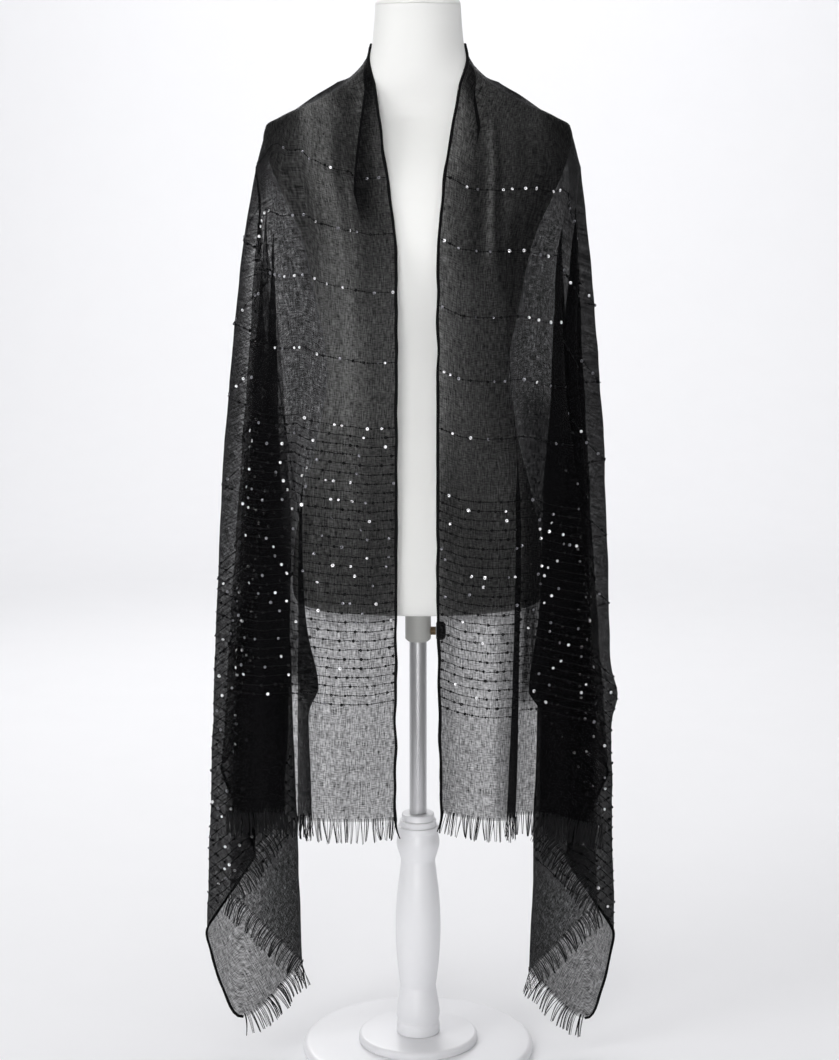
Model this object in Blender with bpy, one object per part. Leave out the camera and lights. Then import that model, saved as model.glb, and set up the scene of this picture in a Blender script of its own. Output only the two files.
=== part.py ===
"""Evening stole laid round the neck of a limbless dress form, on a turned stand.

Metres, +Z up, +X to the viewer's right; the form faces -Y. The origin is the
middle of the base's underside. The stole is one straight length of sheer cloth,
0.70 m wide, with rolled long edges and a fringe at both ends.
"""
import math
from collections import namedtuple

import bmesh
import bpy
from mathutils import Vector

MM = 0.001
SEAM = 0.3 * MM                 # parting between pieces that touch
DOWN = Vector((0, 0, -1))

# ---------------------------------------------------------------- driving sizes
CLOTH_WALL = 1.2 * MM
ROLLED_EDGE = 2.4 * MM          # thickness of the rolled long edges
CLOTH_TO_FORM = 0.70 * MM       # where the cloth rests, along the shoulder ridge
CLOTH_OFF_FORM = 3.0 * MM       # everywhere else on the form
CLOTH_OFF_NECK = 6.2 * MM       # in the hollow where the shoulder runs into the neck
NECK_HOLLOW = 1.190             # level from which that hollow begins
TIP_GAPS = (0.25, 0.45, 0.75)   # share of the gap in the rows next to the shoulder tip
TIP_REACH = (0.110, 0.170)      # half widths between which those shares come in

NECK_EDGE = 0.0560              # form's half width where the stole meets the neck
SHOULDER_TIP = 0.1830           # form's half width at the end of the shoulder ridge
NECK_BACK_DROP = 0.010          # how much lower the neck edge is at the centre back
ARM_LEVEL = 1.130
CHEST_LEVEL = 1.020
HIP_LEVEL = 0.700
ARM_HALF_WIDTH = 0.1975
ARM_FRONT = 0.098
ARM_BACK = 0.104

FRINGE_LENGTH = 27 * MM
FRINGE_STRIP = 4 * MM
STRIP_AT_FOLD = 2.6 * MM
SHARP_TURN = 0.4                # radians between hem stretches at a fold
HEM_GAP = 0.5 * MM              # along the threads; 0.3 mm square to a steep hem
HEM_GAP_AT_FOLD = 1.2 * MM
STRAND_PITCH = 10 * MM
STRAND_ROOT = 2.4 * MM
STRAND_TIP = 0.8 * MM
STRAND_WEIGHT = 0.7             # how far the strands turn down from square to the hem

# Heights of the rows, as shares of the way from ridge to arm and from arm to end.
UPPER_ROWS = (0.0, 0.06, 0.16, 0.32, 0.54, 0.77)
LOWER_ROWS = (0.0, 0.06, 0.13, 0.22, 0.34, 0.48, 0.64, 0.82, 1.0)

# ------------------------------------------------------------- dress form
FORM_SIDES = 30
ROUND_SIDES = 20
SHOULDER_START = 1.160          # between these levels the form has rings twice as close
SHOULDER_END = 1.280
FORM_SQUARENESS = 2.15          # exponent of the form's oval sections
Ring = namedtuple("Ring", "height half_width front back")
FORM = (
    Ring(0.5920, 0.1520, 0.097, 0.108),
    Ring(0.6080, 0.1570, 0.101, 0.112),
    Ring(0.6500, 0.1560, 0.101, 0.113),
    Ring(0.7280, 0.1415, 0.094, 0.106),
    Ring(0.8000, 0.1240, 0.086, 0.096),
    Ring(0.8860, 0.1120, 0.081, 0.088),
    Ring(0.9670, 0.1250, 0.097, 0.090),
    Ring(1.0400, 0.1400, 0.112, 0.094),
    Ring(1.1000, 0.1660, 0.099, 0.096),
    Ring(1.1400, 0.1815, 0.077, 0.088),
    Ring(1.1630, 0.1865, 0.061, 0.074),
    Ring(1.1790, 0.1830, 0.050, 0.060),
    Ring(1.1900, 0.1650, 0.046, 0.054),
    Ring(1.2020, 0.1400, 0.046, 0.054),
    Ring(1.2160, 0.1120, 0.048, 0.056),
    Ring(1.2340, 0.0830, 0.052, 0.057),
    Ring(1.2520, 0.0645, 0.054, 0.058),
    Ring(1.2730, 0.0560, 0.054, 0.056),
    Ring(1.3000, 0.0530, 0.052, 0.053),
    Ring(1.3225, 0.0515, 0.051, 0.052),
)
CAP_HEIGHT = 0.016
CAP_EDGE = 0.004

# ------------------------------------------------------------- stand
BASE_RADIUS = 0.149
BASE_HEIGHT = 0.012
PLINTH_RADIUS = 0.077
PLINTH_TOP = 0.022
DISC_EDGE = 3 * MM
POLE_RADIUS = 0.0109
POLE_TOP = 0.755
POLE_CLEARANCE = 0.5 * MM       # the form slides on the pole
BORE_TOP = 0.800
COLLAR_RADIUS = 0.0162
COLLAR_BOTTOM = 0.5410
COLLAR_CHAMFER = 3 * MM
SCREW_LEVEL = 0.5535
SCREW_RADIUS = 0.0055
SCREW_END = 0.0227
KNOB_RADIUS = 0.0120
KNOB_END = 0.0350
KNOB_LOBES = 8
KNOB_GROOVE = 1.2 * MM
Turn = namedtuple("Turn", "height radius")
COLUMN = (
    Turn(0.0000, 0.0279), Turn(0.0120, 0.0279), Turn(0.0150, 0.0262), Turn(0.0270, 0.0285),
    Turn(0.0420, 0.0262), Turn(0.0630, 0.0226), Turn(0.0700, 0.0240), Turn(0.1000, 0.0275),
    Turn(0.1430, 0.0296), Turn(0.1850, 0.0275), Turn(0.2180, 0.0232), Turn(0.2320, 0.0217),
    Turn(0.2400, 0.0240), Turn(0.2545, 0.0281), Turn(0.2660, 0.0258), Turn(0.2710, 0.0256),
    Turn(0.2770, 0.0256), Turn(0.2780, 0.0230), Turn(0.2850, 0.0230), Turn(0.2860, 0.0205),
    Turn(0.2935, 0.0200),
)

# ------------------------------------------------------------- stole's lengthwise folds
# A row is one line down the cloth, from the shoulder ridge or the neck to the hem or the
# rolled edge. x is measured outwards from the middle; ridge runs from 0 at the neck to
# 1 at the shoulder tip; neck is the turn in degrees round the back of the neck; sweep is
# the turn round the shoulder, from -90 at the front to 90 at the back. bend is the length
# that turns over at a fold (0 on a smooth line), gape how far the two layers stand apart
# there, and between the number of columns added up to the next row.
Line = namedtuple(
    "Line", "name ridge neck sweep chest_x chest_y hip_x hip_y end_x end_y end_z bend gape between"
)
LEFT = (
    Line("front_edge", 0.00, 0, -79.0, 0.0255, -0.126, 0.0262, -0.132, 0.0280, -0.136, 0.348, 0, 0, 1),
    Line("front_inner", 0.17, 0, -70.0, 0.0530, -0.127, 0.0560, -0.136, 0.0600, -0.141, 0.347, 0, 0, 1),
    Line("front_middle", 0.35, 0, -60.0, 0.0810, -0.119, 0.0900, -0.129, 0.1000, -0.135, 0.345, 0, 0, 0),
    Line("pleat_lead", 0.50, 0, -52.5, 0.1070, -0.106, 0.1240, -0.118, 0.1470, -0.121, 0.344, 0.008, 0.005, 0),
    Line("pleat_back", 0.56, 0, -49.5, 0.1150, -0.100, 0.1160, -0.109, 0.1290, -0.110, 0.344, 0.008, 0.005, 0),
    Line("pleat_rest", 0.64, 0, -45.0, 0.1290, -0.093, 0.1400, -0.102, 0.1640, -0.100, 0.342, 0, 0, 0),
    Line("front_outer", 0.68, 0, -36.0, 0.1600, -0.074, 0.1820, -0.087, 0.2050, -0.084, 0.337, 0, 0, 0),
    Line("front_fold", 0.76, 0, -27.0, 0.1890, -0.046, 0.2160, -0.067, 0.2450, -0.061, 0.332, 0.020, 0.008, 0),
    Line("inner_fold_1", 0.81, 0, -19.5, 0.1760, -0.037, 0.1510, -0.062, 0.1630, -0.062, 0.341, 0.020, 0.008, 0),
    Line("outer_fold_1", 0.86, 0, -12.5, 0.1980, -0.023, 0.2220, -0.043, 0.2420, -0.043, 0.224, 0.020, 0.008, 0),
    Line("inner_fold_2", 0.91, 0, -6.0, 0.1850, -0.008, 0.1480, -0.031, 0.1440, -0.034, 0.125, 0.020, 0.008, 0),
    Line("corner", 0.95, 0, -3.0, 0.2060, -0.008, 0.2120, -0.016, 0.2256, -0.018, 0.048, 0, 0, 0),
    Line("edge_bow", 0.975, 0, -1.5, 0.2118, -0.004, 0.2300, -0.008, 0.2516, -0.011, 0.086, 0, 0, 0),
    Line("side_turn", 1.00, 0, 0.0, 0.2175, 0.000, 0.2470, 0.000, 0.2715, 0.000, 0.158, 0.018, 0.008, 0),
    Line("back_fold_1", 0.93, 0, 7.5, 0.1920, 0.016, 0.1780, 0.022, 0.2090, 0.020, 0.254, 0.018, 0.008, 0),
    Line("back_fold_2", 0.87, 0, 15.0, 0.2040, 0.032, 0.2320, 0.042, 0.2560, 0.044, 0.366, 0.018, 0.008, 0),
    Line("back_fold_3", 0.81, 0, 23.0, 0.1780, 0.046, 0.1720, 0.062, 0.1660, 0.064, 0.458, 0.018, 0.008, 0),
    Line("back_fold_4", 0.75, 0, 32.0, 0.1840, 0.066, 0.2060, 0.084, 0.2180, 0.086, 0.548, 0.018, 0.008, 0),
    Line("back_outer", 0.64, 0, 44.0, 0.1520, 0.088, 0.1560, 0.108, 0.1540, 0.110, 0.612, 0, 0, 1),
    Line("back_wave_out", 0.40, 0, 58.0, 0.1120, 0.100, 0.1180, 0.128, 0.1200, 0.132, 0.602, 0, 0, 1),
    Line("back_wave_in", 0.00, 0, 69.0, 0.0740, 0.107, 0.0760, 0.122, 0.0780, 0.124, 0.588, 0, 0, 2),
    Line("back_inner", 0.00, 45, 79.0, 0.0380, 0.110, 0.0380, 0.132, 0.0390, 0.136, 0.574, 0, 0, 1),
    Line("back_centre", 0.00, 90, 90.0, 0.0000, 0.111, 0.0000, 0.123, 0.0000, 0.125, 0.566, 0, 0, 0),
)
RIGHT = (
    Line("front_edge", 0.00, 0, -80.5, 0.0235, -0.126, 0.0235, -0.132, 0.0285, -0.136, 0.357, 0, 0, 1),
    Line("front_inner", 0.17, 0, -71.5, 0.0500, -0.127, 0.0530, -0.136, 0.0570, -0.141, 0.352, 0, 0, 1),
    Line("front_middle", 0.35, 0, -62.0, 0.0760, -0.120, 0.0820, -0.131, 0.0880, -0.137, 0.347, 0, 0, 0),
    Line("pleat_lead", 0.50, 0, -54.0, 0.1040, -0.108, 0.1200, -0.121, 0.1270, -0.127, 0.345, 0.008, 0.005, 0),
    Line("pleat_back", 0.56, 0, -50.5, 0.1080, -0.101, 0.1060, -0.110, 0.1090, -0.114, 0.347, 0.008, 0.005, 0),
    Line("pleat_rest", 0.64, 0, -45.5, 0.1230, -0.093, 0.1360, -0.102, 0.1480, -0.105, 0.345, 0, 0, 0),
    Line("front_outer", 0.68, 0, -37.0, 0.1500, -0.073, 0.1700, -0.088, 0.1920, -0.088, 0.330, 0, 0, 0),
    Line("front_fold", 0.76, 0, -28.5, 0.1735, -0.046, 0.2030, -0.067, 0.2350, -0.061, 0.313, 0.020, 0.008, 0),
    Line("inner_fold_1", 0.81, 0, -20.0, 0.1700, -0.034, 0.1530, -0.062, 0.1460, -0.062, 0.328, 0.020, 0.008, 0),
    Line("outer_fold_1", 0.86, 0, -12.5, 0.1930, -0.023, 0.2130, -0.043, 0.2300, -0.043, 0.208, 0.020, 0.008, 0),
    Line("inner_fold_2", 0.91, 0, -6.0, 0.1850, -0.009, 0.1520, -0.033, 0.1385, -0.034, 0.114, 0.020, 0.008, 0),
    Line("corner", 0.95, 0, -3.0, 0.2020, -0.006, 0.2050, -0.016, 0.2151, -0.018, 0.046, 0, 0, 0),
    Line("edge_bow", 0.975, 0, -1.5, 0.2070, -0.003, 0.2205, -0.008, 0.2365, -0.011, 0.082, 0, 0, 0),
    Line("side_turn", 1.00, 0, 0.0, 0.2120, 0.000, 0.2350, 0.000, 0.2525, 0.000, 0.156, 0.018, 0.008, 0),
    Line("back_fold_1", 0.93, 0, 7.5, 0.1900, 0.016, 0.1740, 0.022, 0.1900, 0.020, 0.250, 0.018, 0.008, 0),
    Line("back_fold_2", 0.87, 0, 15.0, 0.2000, 0.032, 0.2220, 0.042, 0.2480, 0.044, 0.360, 0.018, 0.008, 0),
    Line("back_fold_3", 0.81, 0, 23.0, 0.1760, 0.046, 0.1720, 0.062, 0.1640, 0.064, 0.452, 0.018, 0.008, 0),
    Line("back_fold_4", 0.75, 0, 32.0, 0.1820, 0.066, 0.2020, 0.084, 0.2120, 0.086, 0.540, 0.018, 0.008, 0),
    Line("back_outer", 0.64, 0, 44.0, 0.1500, 0.088, 0.1520, 0.108, 0.1500, 0.110, 0.606, 0, 0, 1),
    Line("back_wave_out", 0.40, 0, 58.0, 0.1080, 0.101, 0.1120, 0.129, 0.1140, 0.133, 0.598, 0, 0, 1),
    Line("back_wave_in", 0.00, 0, 69.0, 0.0720, 0.107, 0.0740, 0.122, 0.0750, 0.124, 0.586, 0, 0, 2),
    Line("back_inner", 0.00, 45, 79.0, 0.0370, 0.110, 0.0370, 0.131, 0.0380, 0.135, 0.573, 0, 0, 1),
)
FOLD_STARTS = 0.3               # cosine of the turn at which a fold begins to stand open
BEND_SHARE = 0.42               # most of a narrow panel that its bends may take up
GAPE_SHARE = 0.25               # most of a narrow panel that a fold may stand open
BEND_SHARES = (0.0, 0.3, 0.7, 1.0)      # where a fold's columns lie along its turn
SIDE_TURN_SHARES = (0.0, 0.28, 0.5, 0.72, 1.0)


# ---------------------------------------------------------------- numbers
def smooth(places, values, at):
    """Value at a place on a smooth line through the given values, without overshoot."""
    if places[0] > places[-1]:
        places, values = places[::-1], values[::-1]
    at = min(max(at, places[0]), places[-1])
    i = max(j for j in range(len(places) - 1) if places[j] <= at)
    slopes = [(values[j + 1] - values[j]) / (places[j + 1] - places[j]) for j in range(len(places) - 1)]

    def slope(j):
        if j == 0 or j == len(places) - 1:
            return slopes[0] if j == 0 else slopes[-1]
        before, after = slopes[j - 1], slopes[j]
        return 0.0 if before * after <= 0 else 2 * before * after / (before + after)

    span = places[i + 1] - places[i]
    u = (at - places[i]) / span
    start, end = values[i], values[i + 1]
    return (
        start * (2 * u**3 - 3 * u**2 + 1) + end * (3 * u**2 - 2 * u**3)
        + span * (slope(i) * (u**3 - 2 * u**2 + u) + slope(i + 1) * (u**3 - u**2))
    )


FORM_COLUMNS = {name: [getattr(ring, name) for ring in FORM] for name in Ring._fields}


def form_size(height, column):
    return smooth(FORM_COLUMNS["height"], FORM_COLUMNS[column], height)


def ridge_height(x):
    """Height of the shoulder ridge where the form is x wide from its middle."""
    low, high = FORM[10].height, FORM[17].height
    for _ in range(30):
        middle = (low + high) / 2
        if form_size(middle, "half_width") > x:
            low = middle
        else:
            high = middle
    return low


def form_excess(point):
    """Below 0 inside the form's oval section at the point's height, above 0 outside."""
    across = abs(point.x) / form_size(point.z, "half_width")
    deep = abs(point.y) / form_size(point.z, "front" if point.y < 0 else "back")
    return (across**FORM_SQUARENESS + deep**FORM_SQUARENESS) ** (1 / FORM_SQUARENESS) - 1


def clear_of_form(point, at_tip=1):
    """The point of the cloth, moved out where the form is nearer than the cloth's gap to it."""
    if point.z < FORM[0].height:
        return point
    tip = min(max((abs(point.x) - TIP_REACH[0]) / (TIP_REACH[1] - TIP_REACH[0]), 0), 1)
    grown = 1 - (1 - at_tip) * tip
    hollow = min(max((point.z - NECK_HOLLOW) / (FORM[17].height - NECK_HOLLOW) * 3, 0), 1)
    gap = (CLOTH_OFF_FORM + (CLOTH_OFF_NECK - CLOTH_OFF_FORM) * hollow) * grown + CLOTH_WALL / 2
    point = point.copy()
    step = 0.5 * MM
    for _ in range(4):
        here = form_excess(point)
        rise = Vector(
            form_excess(point + Vector(axis) * step) - here for axis in ((1, 0, 0), (0, 1, 0), (0, 0, 1))
        ) / step
        away = here / rise.length
        if away < gap:
            point += rise.normalized() * (gap - away)
    return point


# ---------------------------------------------------------------- lines down the cloth
def top_of(line, side):
    """Where a line starts: on the shoulder ridge, or round the back of the neck."""
    if line.neck:
        turn = math.radians(line.neck)
        height = ridge_height(NECK_EDGE) - NECK_BACK_DROP * math.sin(turn)
        wide = form_size(height, "half_width") + CLOTH_OFF_FORM + ROLLED_EDGE / 2
        deep = form_size(height, "back") + CLOTH_OFF_FORM + ROLLED_EDGE / 2
        return Vector((side * wide * math.cos(turn), deep * math.sin(turn), height))
    return on_ridge(NECK_EDGE + (SHOULDER_TIP - NECK_EDGE) * line.ridge, side)


def ridge_normal(x, side):
    run = 2 * MM
    fall = ridge_height(x - run) - ridge_height(x + run)
    return Vector((side * fall, 0, 2 * run)).normalized()


def line_points(line, side):
    """The line's points, one for each row, from its top to its end."""
    top = top_of(line, side)
    turn = math.radians(line.sweep)
    deep = ARM_FRONT if line.sweep < 0 else ARM_BACK
    arm = Vector((side * ARM_HALF_WIDTH * math.cos(turn), deep * math.sin(turn), ARM_LEVEL))
    points = [top]
    steepness = 1.6 + 4 * line.ridge**3        # near the tip a line leaves the ridge at once
    for share in UPPER_ROWS[1:]:
        over = 1 - (1 - share) ** steepness
        point = Vector((
            top.x + (arm.x - top.x) * share,
            top.y + (arm.y - top.y) * over,
            top.z + (arm.z - top.z) * share,
        ))
        points.append(point)
    levels = [ARM_LEVEL, CHEST_LEVEL, HIP_LEVEL, line.end_z]
    across = [arm.x, side * line.chest_x, side * line.hip_x, side * line.end_x]
    deep = [arm.y, line.chest_y, line.hip_y, line.end_y]
    for share in LOWER_ROWS:
        z = ARM_LEVEL + (line.end_z - ARM_LEVEL) * share
        points.append(Vector((smooth(levels, across, z), smooth(levels, deep, z), z)))
    return points


# ---------------------------------------------------------------- sections across the cloth
def hermite(start, end, start_way, end_way, u):
    return (
        start * (2 * u**3 - 3 * u**2 + 1) + end * (3 * u**2 - 2 * u**3)
        + start_way * (u**3 - 2 * u**2 + u) + end_way * (u**3 - u**2)
    )


def turn_back(before, point, after):
    """How far the cloth turns back on itself in plan: 0 where it runs on, 1 in a full fold."""
    way_in = (point - before).xy.normalized()
    way_out = (after - point).xy.normalized()
    return min(max((FOLD_STARTS - way_in.dot(way_out)) / (1 + FOLD_STARTS), 0), 1)


def section(lines, points):
    """Points across one row of the cloth: panels between the lines, turned over at the folds.

    Returns the points, and for each line the index of its own or its middle column."""
    last = len(lines) - 1
    centre = [line.name for line in lines].index("back_centre")
    arrive, leave, bends = list(points), list(points), [None] * len(lines)
    for j, line in enumerate(lines):
        if line.bend:
            before, point, after = points[j - 1:j + 2]
            shorter = min((before - point).length, (after - point).length)
            reach = min(line.bend, BEND_SHARE * shorter)
            half_gape = min(line.gape / 2 * turn_back(before, point, after), GAPE_SHARE * shorter)
            # The later layer lies behind the earlier one on the left, in front on the right.
            backward = 1 if j < centre else -1
            apart = Vector((0, backward * half_gape, 0))
            first, second = point - apart, point + apart
            arrive[j] = first + (before - first).normalized() * reach
            leave[j] = second + (after - second).normalized() * reach
            bends[j] = (arrive[j], first, second, leave[j])
    columns, own = [], []
    for j, line in enumerate(lines):
        if bends[j]:
            a, b, c, d = bends[j]
            shares = SIDE_TURN_SHARES if line.name == "side_turn" else BEND_SHARES
            own.append(len(columns) + len(shares) // 2)
            columns += [
                a * (1 - u) ** 3 + b * 3 * (1 - u) ** 2 * u + c * 3 * (1 - u) * u**2 + d * u**3
                for u in shares
            ]
        else:
            own.append(len(columns))
            columns.append(points[j])
        if j == last:
            break
        span = arrive[j + 1] - leave[j]
        ways = []
        for k in (j, j + 1):
            smooth_line = not bends[k] and 0 < k < last
            way = (arrive[k + 1] - leave[k - 1]) if smooth_line else span
            ways.append(way.normalized() * span.length)
        for i in range(1, line.between + 1):
            columns.append(hermite(leave[j], arrive[j + 1], ways[0], ways[1], i / (line.between + 1)))
    return columns, own


def on_ridge(x, side):
    """A point of the cloth's middle surface on the shoulder ridge."""
    return Vector((side * x, 0, ridge_height(x))) + ridge_normal(x, side) * (CLOTH_TO_FORM + CLOTH_WALL / 2)


def stole_grid():
    """The whole stole as rows of points, with the columns of its named lines."""
    sides = [-1] * len(LEFT) + [1] * len(RIGHT)
    lines = list(LEFT) + [line._replace(between=0) for line in reversed(RIGHT)]
    # On the right half a row's added columns come before it, so they move to its neighbour.
    for j in range(len(LEFT) - 1, len(lines) - 1):
        lines[j] = lines[j]._replace(between=RIGHT[len(lines) - 2 - j].between)
    paths = [line_points(line, side) for line, side in zip(lines, sides)]
    rows, own = [], []
    for i in range(len(paths[0])):
        points = [path[i] for path in paths]
        columns, own = section(lines, points)
        at_tip = TIP_GAPS[i - 1] if 0 < i <= len(TIP_GAPS) else 1
        rows.append([clear_of_form(point, at_tip) for point in columns])
    return rows, lines, own


def ridge_share(column, lines, own):
    """How far along the shoulder ridge a column starts, evenly spaced between its lines."""
    j = max(k for k in range(len(own) - 1) if own[k] <= column)
    share = (column - own[j]) / (own[j + 1] - own[j])
    return lines[j].ridge + (lines[j + 1].ridge - lines[j].ridge) * share


def neck_columns(lines, own):
    """First and last column where the cloth lies round the back of the neck."""
    at_neck = [own[j] for j, line in enumerate(lines) if line.ridge == 0 and line.sweep > 0]
    return at_neck[0], at_neck[-1]


def grid_normals(rows):
    """Outward normals of the grid: away from the form on its front, sides and back."""
    count, width = len(rows), len(rows[0])
    normals = []
    for i in range(count):
        line = []
        for j in range(width):
            down = rows[min(i + 1, count - 1)][j] - rows[max(i - 1, 0)][j]
            across = rows[i][min(j + 1, width - 1)] - rows[i][max(j - 1, 0)]
            if i == 0 and across.length < MM:
                across = rows[1][min(j + 1, width - 1)] - rows[1][max(j - 1, 0)]
            line.append(across.cross(down).normalized())
        normals.append(line)
    return normals


# ---------------------------------------------------------------- meshes
def material(name, colour, roughness, metallic=0.0):
    found = bpy.data.materials.get(name)
    if found:
        return found
    made = bpy.data.materials.new(name)
    made.use_nodes = True
    shader = made.node_tree.nodes["Principled BSDF"]
    shader.inputs["Base Color"].default_value = (*colour, 1)
    shader.inputs["Roughness"].default_value = roughness
    shader.inputs["Metallic"].default_value = metallic
    made.diffuse_color = (*colour, 1)
    return made


def finish(name, mesh, finish_of):
    """Make a bmesh into a named object."""
    data = bpy.data.meshes.new(name)
    mesh.to_mesh(data)
    mesh.free()
    data.materials.append(finish_of)
    piece = bpy.data.objects.new(name, data)
    bpy.context.scene.collection.objects.link(piece)
    return piece


def wall(name, rows, normals, thick, finish_of):
    """A closed wall of cloth on a grid of points, of the thickness given at each."""
    mesh = bmesh.new()
    outer, inner = [], []
    for i, row in enumerate(rows):
        outer.append([mesh.verts.new(p + normals[i][j] * thick[i][j] / 2) for j, p in enumerate(row)])
        inner.append([mesh.verts.new(p - normals[i][j] * thick[i][j] / 2) for j, p in enumerate(row)])
    height, width = len(rows), len(rows[0])
    for i in range(height - 1):
        for j in range(width - 1):
            mesh.faces.new((outer[i][j], outer[i][j + 1], outer[i + 1][j + 1], outer[i + 1][j]))
            mesh.faces.new((inner[i][j], inner[i + 1][j], inner[i + 1][j + 1], inner[i][j + 1]))
    for i in range(height - 1):
        mesh.faces.new((outer[i][0], outer[i + 1][0], inner[i + 1][0], inner[i][0]))
        mesh.faces.new((outer[i][-1], inner[i][-1], inner[i + 1][-1], outer[i + 1][-1]))
    for j in range(width - 1):
        mesh.faces.new((outer[0][j], inner[0][j], inner[0][j + 1], outer[0][j + 1]))
        mesh.faces.new((outer[-1][j], outer[-1][j + 1], inner[-1][j + 1], inner[-1][j]))
    return finish(name, mesh, finish_of)


def loft(name, rings, finish_of):
    """A closed solid through rings of equal count, with flat ends."""
    mesh = bmesh.new()
    made = [[mesh.verts.new(point) for point in ring] for ring in rings]
    count = len(rings[0])
    for lower, upper in zip(made, made[1:]):
        for j in range(count):
            k = (j + 1) % count
            mesh.faces.new((lower[j], lower[k], upper[k], upper[j]))
    mesh.faces.new(made[0])
    mesh.faces.new(made[-1])
    bmesh.ops.recalc_face_normals(mesh, faces=mesh.faces)
    return finish(name, mesh, finish_of)


def circle(radius, height, sides=ROUND_SIDES):
    turns = (2 * math.pi * k / sides for k in range(sides))
    return [Vector((radius * math.cos(t), radius * math.sin(t), height)) for t in turns]


def turned(name, profile, finish_of, sides=ROUND_SIDES):
    """A turned solid, from (radius, height) pairs."""
    return loft(name, [circle(radius, height, sides) for radius, height in profile], finish_of)


def along_x(piece):
    """Lay a piece that was made along Z along X, turning its mesh."""
    for vertex in piece.data.vertices:
        x, y, z = vertex.co
        vertex.co = (z, x, y)
    return piece


# ---------------------------------------------------------------- the stand and the form
def form_ring(height):
    ring = []
    for k in range(FORM_SIDES):
        turn = 2 * math.pi * k / FORM_SIDES
        c, s = math.cos(turn), math.sin(turn)
        power = 2 / FORM_SQUARENESS
        x = form_size(height, "half_width") * math.copysign(abs(c) ** power, c)
        y = form_size(height, "front" if s < 0 else "back") * math.copysign(abs(s) ** power, s)
        ring.append(Vector((x, y, height)))
    return ring


def build_form():
    white = material("form_white", (0.86, 0.86, 0.85), 0.45)
    bore = POLE_RADIUS + POLE_CLEARANCE
    rings = [circle(bore, BORE_TOP, FORM_SIDES), circle(bore, FORM[0].height, FORM_SIDES)]
    for lower, upper in zip(FORM, FORM[1:]):
        rings.append(form_ring(lower.height))
        if SHOULDER_START < upper.height < SHOULDER_END:
            rings.append(form_ring((lower.height + upper.height) / 2))
    rings.append(form_ring(FORM[-1].height))
    loft("torso", rings, white)
    foot = FORM[-1].height + SEAM
    radius = FORM[-1].half_width
    cap = [(radius - SEAM, foot), (radius, foot + CAP_EDGE / 2), (radius - MM, foot + CAP_EDGE)]
    for share in (0.35, 0.65, 0.88):
        cap.append((radius * math.cos(share * math.pi / 2), foot + CAP_EDGE + (CAP_HEIGHT - CAP_EDGE)
                    * math.sin(share * math.pi / 2)))
    turned("neck_cap", cap, material("cap_white", (0.80, 0.80, 0.79), 0.5), FORM_SIDES)


def build_stand():
    lacquer = material("lacquer_white", (0.85, 0.85, 0.84), 0.35)
    steel = material("steel_grey", (0.42, 0.42, 0.41), 0.35, 0.9)
    base = [(BASE_RADIUS - MM, 0), (BASE_RADIUS, MM), (BASE_RADIUS, BASE_HEIGHT - DISC_EDGE),
            (BASE_RADIUS - DISC_EDGE, BASE_HEIGHT)]
    turned("base_disc", base, lacquer, 36)
    foot = BASE_HEIGHT + SEAM
    plinth = [(PLINTH_RADIUS, foot), (PLINTH_RADIUS, PLINTH_TOP - DISC_EDGE),
              (PLINTH_RADIUS - DISC_EDGE, PLINTH_TOP)]
    turned("base_plinth", plinth, lacquer, 32)
    foot = PLINTH_TOP + SEAM
    turned("column", [(turn.radius, foot + turn.height) for turn in COLUMN], lacquer)
    foot += COLUMN[-1].height + SEAM
    turned("pole", [(POLE_RADIUS, foot), (POLE_RADIUS, POLE_TOP - MM), (POLE_RADIUS - MM, POLE_TOP)], steel)


def build_clamp():
    steel = material("clamp_grey", (0.38, 0.38, 0.38), 0.4, 0.9)
    bore = POLE_RADIUS + POLE_CLEARANCE
    top = FORM[0].height - SEAM
    profile = [
        (bore, top), (bore, COLLAR_BOTTOM), (COLLAR_RADIUS - COLLAR_CHAMFER, COLLAR_BOTTOM),
        (COLLAR_RADIUS, COLLAR_BOTTOM + COLLAR_CHAMFER), (COLLAR_RADIUS, top),
    ]
    mesh = bmesh.new()
    rings = [[mesh.verts.new(point) for point in circle(r, z)] for r, z in profile]
    for lower, upper in zip(rings, rings[1:] + rings[:1]):
        for j in range(ROUND_SIDES):
            k = (j + 1) % ROUND_SIDES
            mesh.faces.new((lower[j], lower[k], upper[k], upper[j]))
    bmesh.ops.recalc_face_normals(mesh, faces=mesh.faces)
    collar = finish("clamp_collar", mesh, steel)
    hole = [(SCREW_RADIUS + SEAM, POLE_RADIUS), (SCREW_RADIUS + SEAM, KNOB_END)]
    cutter = along_x(turned("screw_hole", hole, steel, 12))
    cutter.location.z = SCREW_LEVEL
    cutter.hide_render = True
    cutter.display_type = "WIRE"
    cut = collar.modifiers.new("screw hole", "BOOLEAN")
    cut.operation = "DIFFERENCE"
    cut.solver = "EXACT"
    cut.object = cutter
    tip = POLE_RADIUS + SEAM
    shank = [(SCREW_RADIUS - MM, tip), (SCREW_RADIUS, tip + MM), (SCREW_RADIUS, SCREW_END - SEAM)]
    screw = along_x(turned("clamp_screw", shank, material("screw_brass", (0.42, 0.33, 0.22), 0.4, 0.8), 12))
    screw.location.z = SCREW_LEVEL
    black = material("knob_black", (0.02, 0.02, 0.02), 0.4)
    sides = KNOB_LOBES * 3
    rings = []
    for radius, along in ((KNOB_RADIUS - MM, SCREW_END), (KNOB_RADIUS, SCREW_END + MM),
                          (KNOB_RADIUS, KNOB_END - 2 * MM), (KNOB_RADIUS - 2 * MM, KNOB_END)):
        ring = circle(radius, along, sides)
        for groove in ring[::3]:
            groove.xy *= 1 - KNOB_GROOVE / KNOB_RADIUS
        rings.append(ring)
    knob = along_x(loft("clamp_knob", rings, black))
    knob.location.z = SCREW_LEVEL


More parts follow.
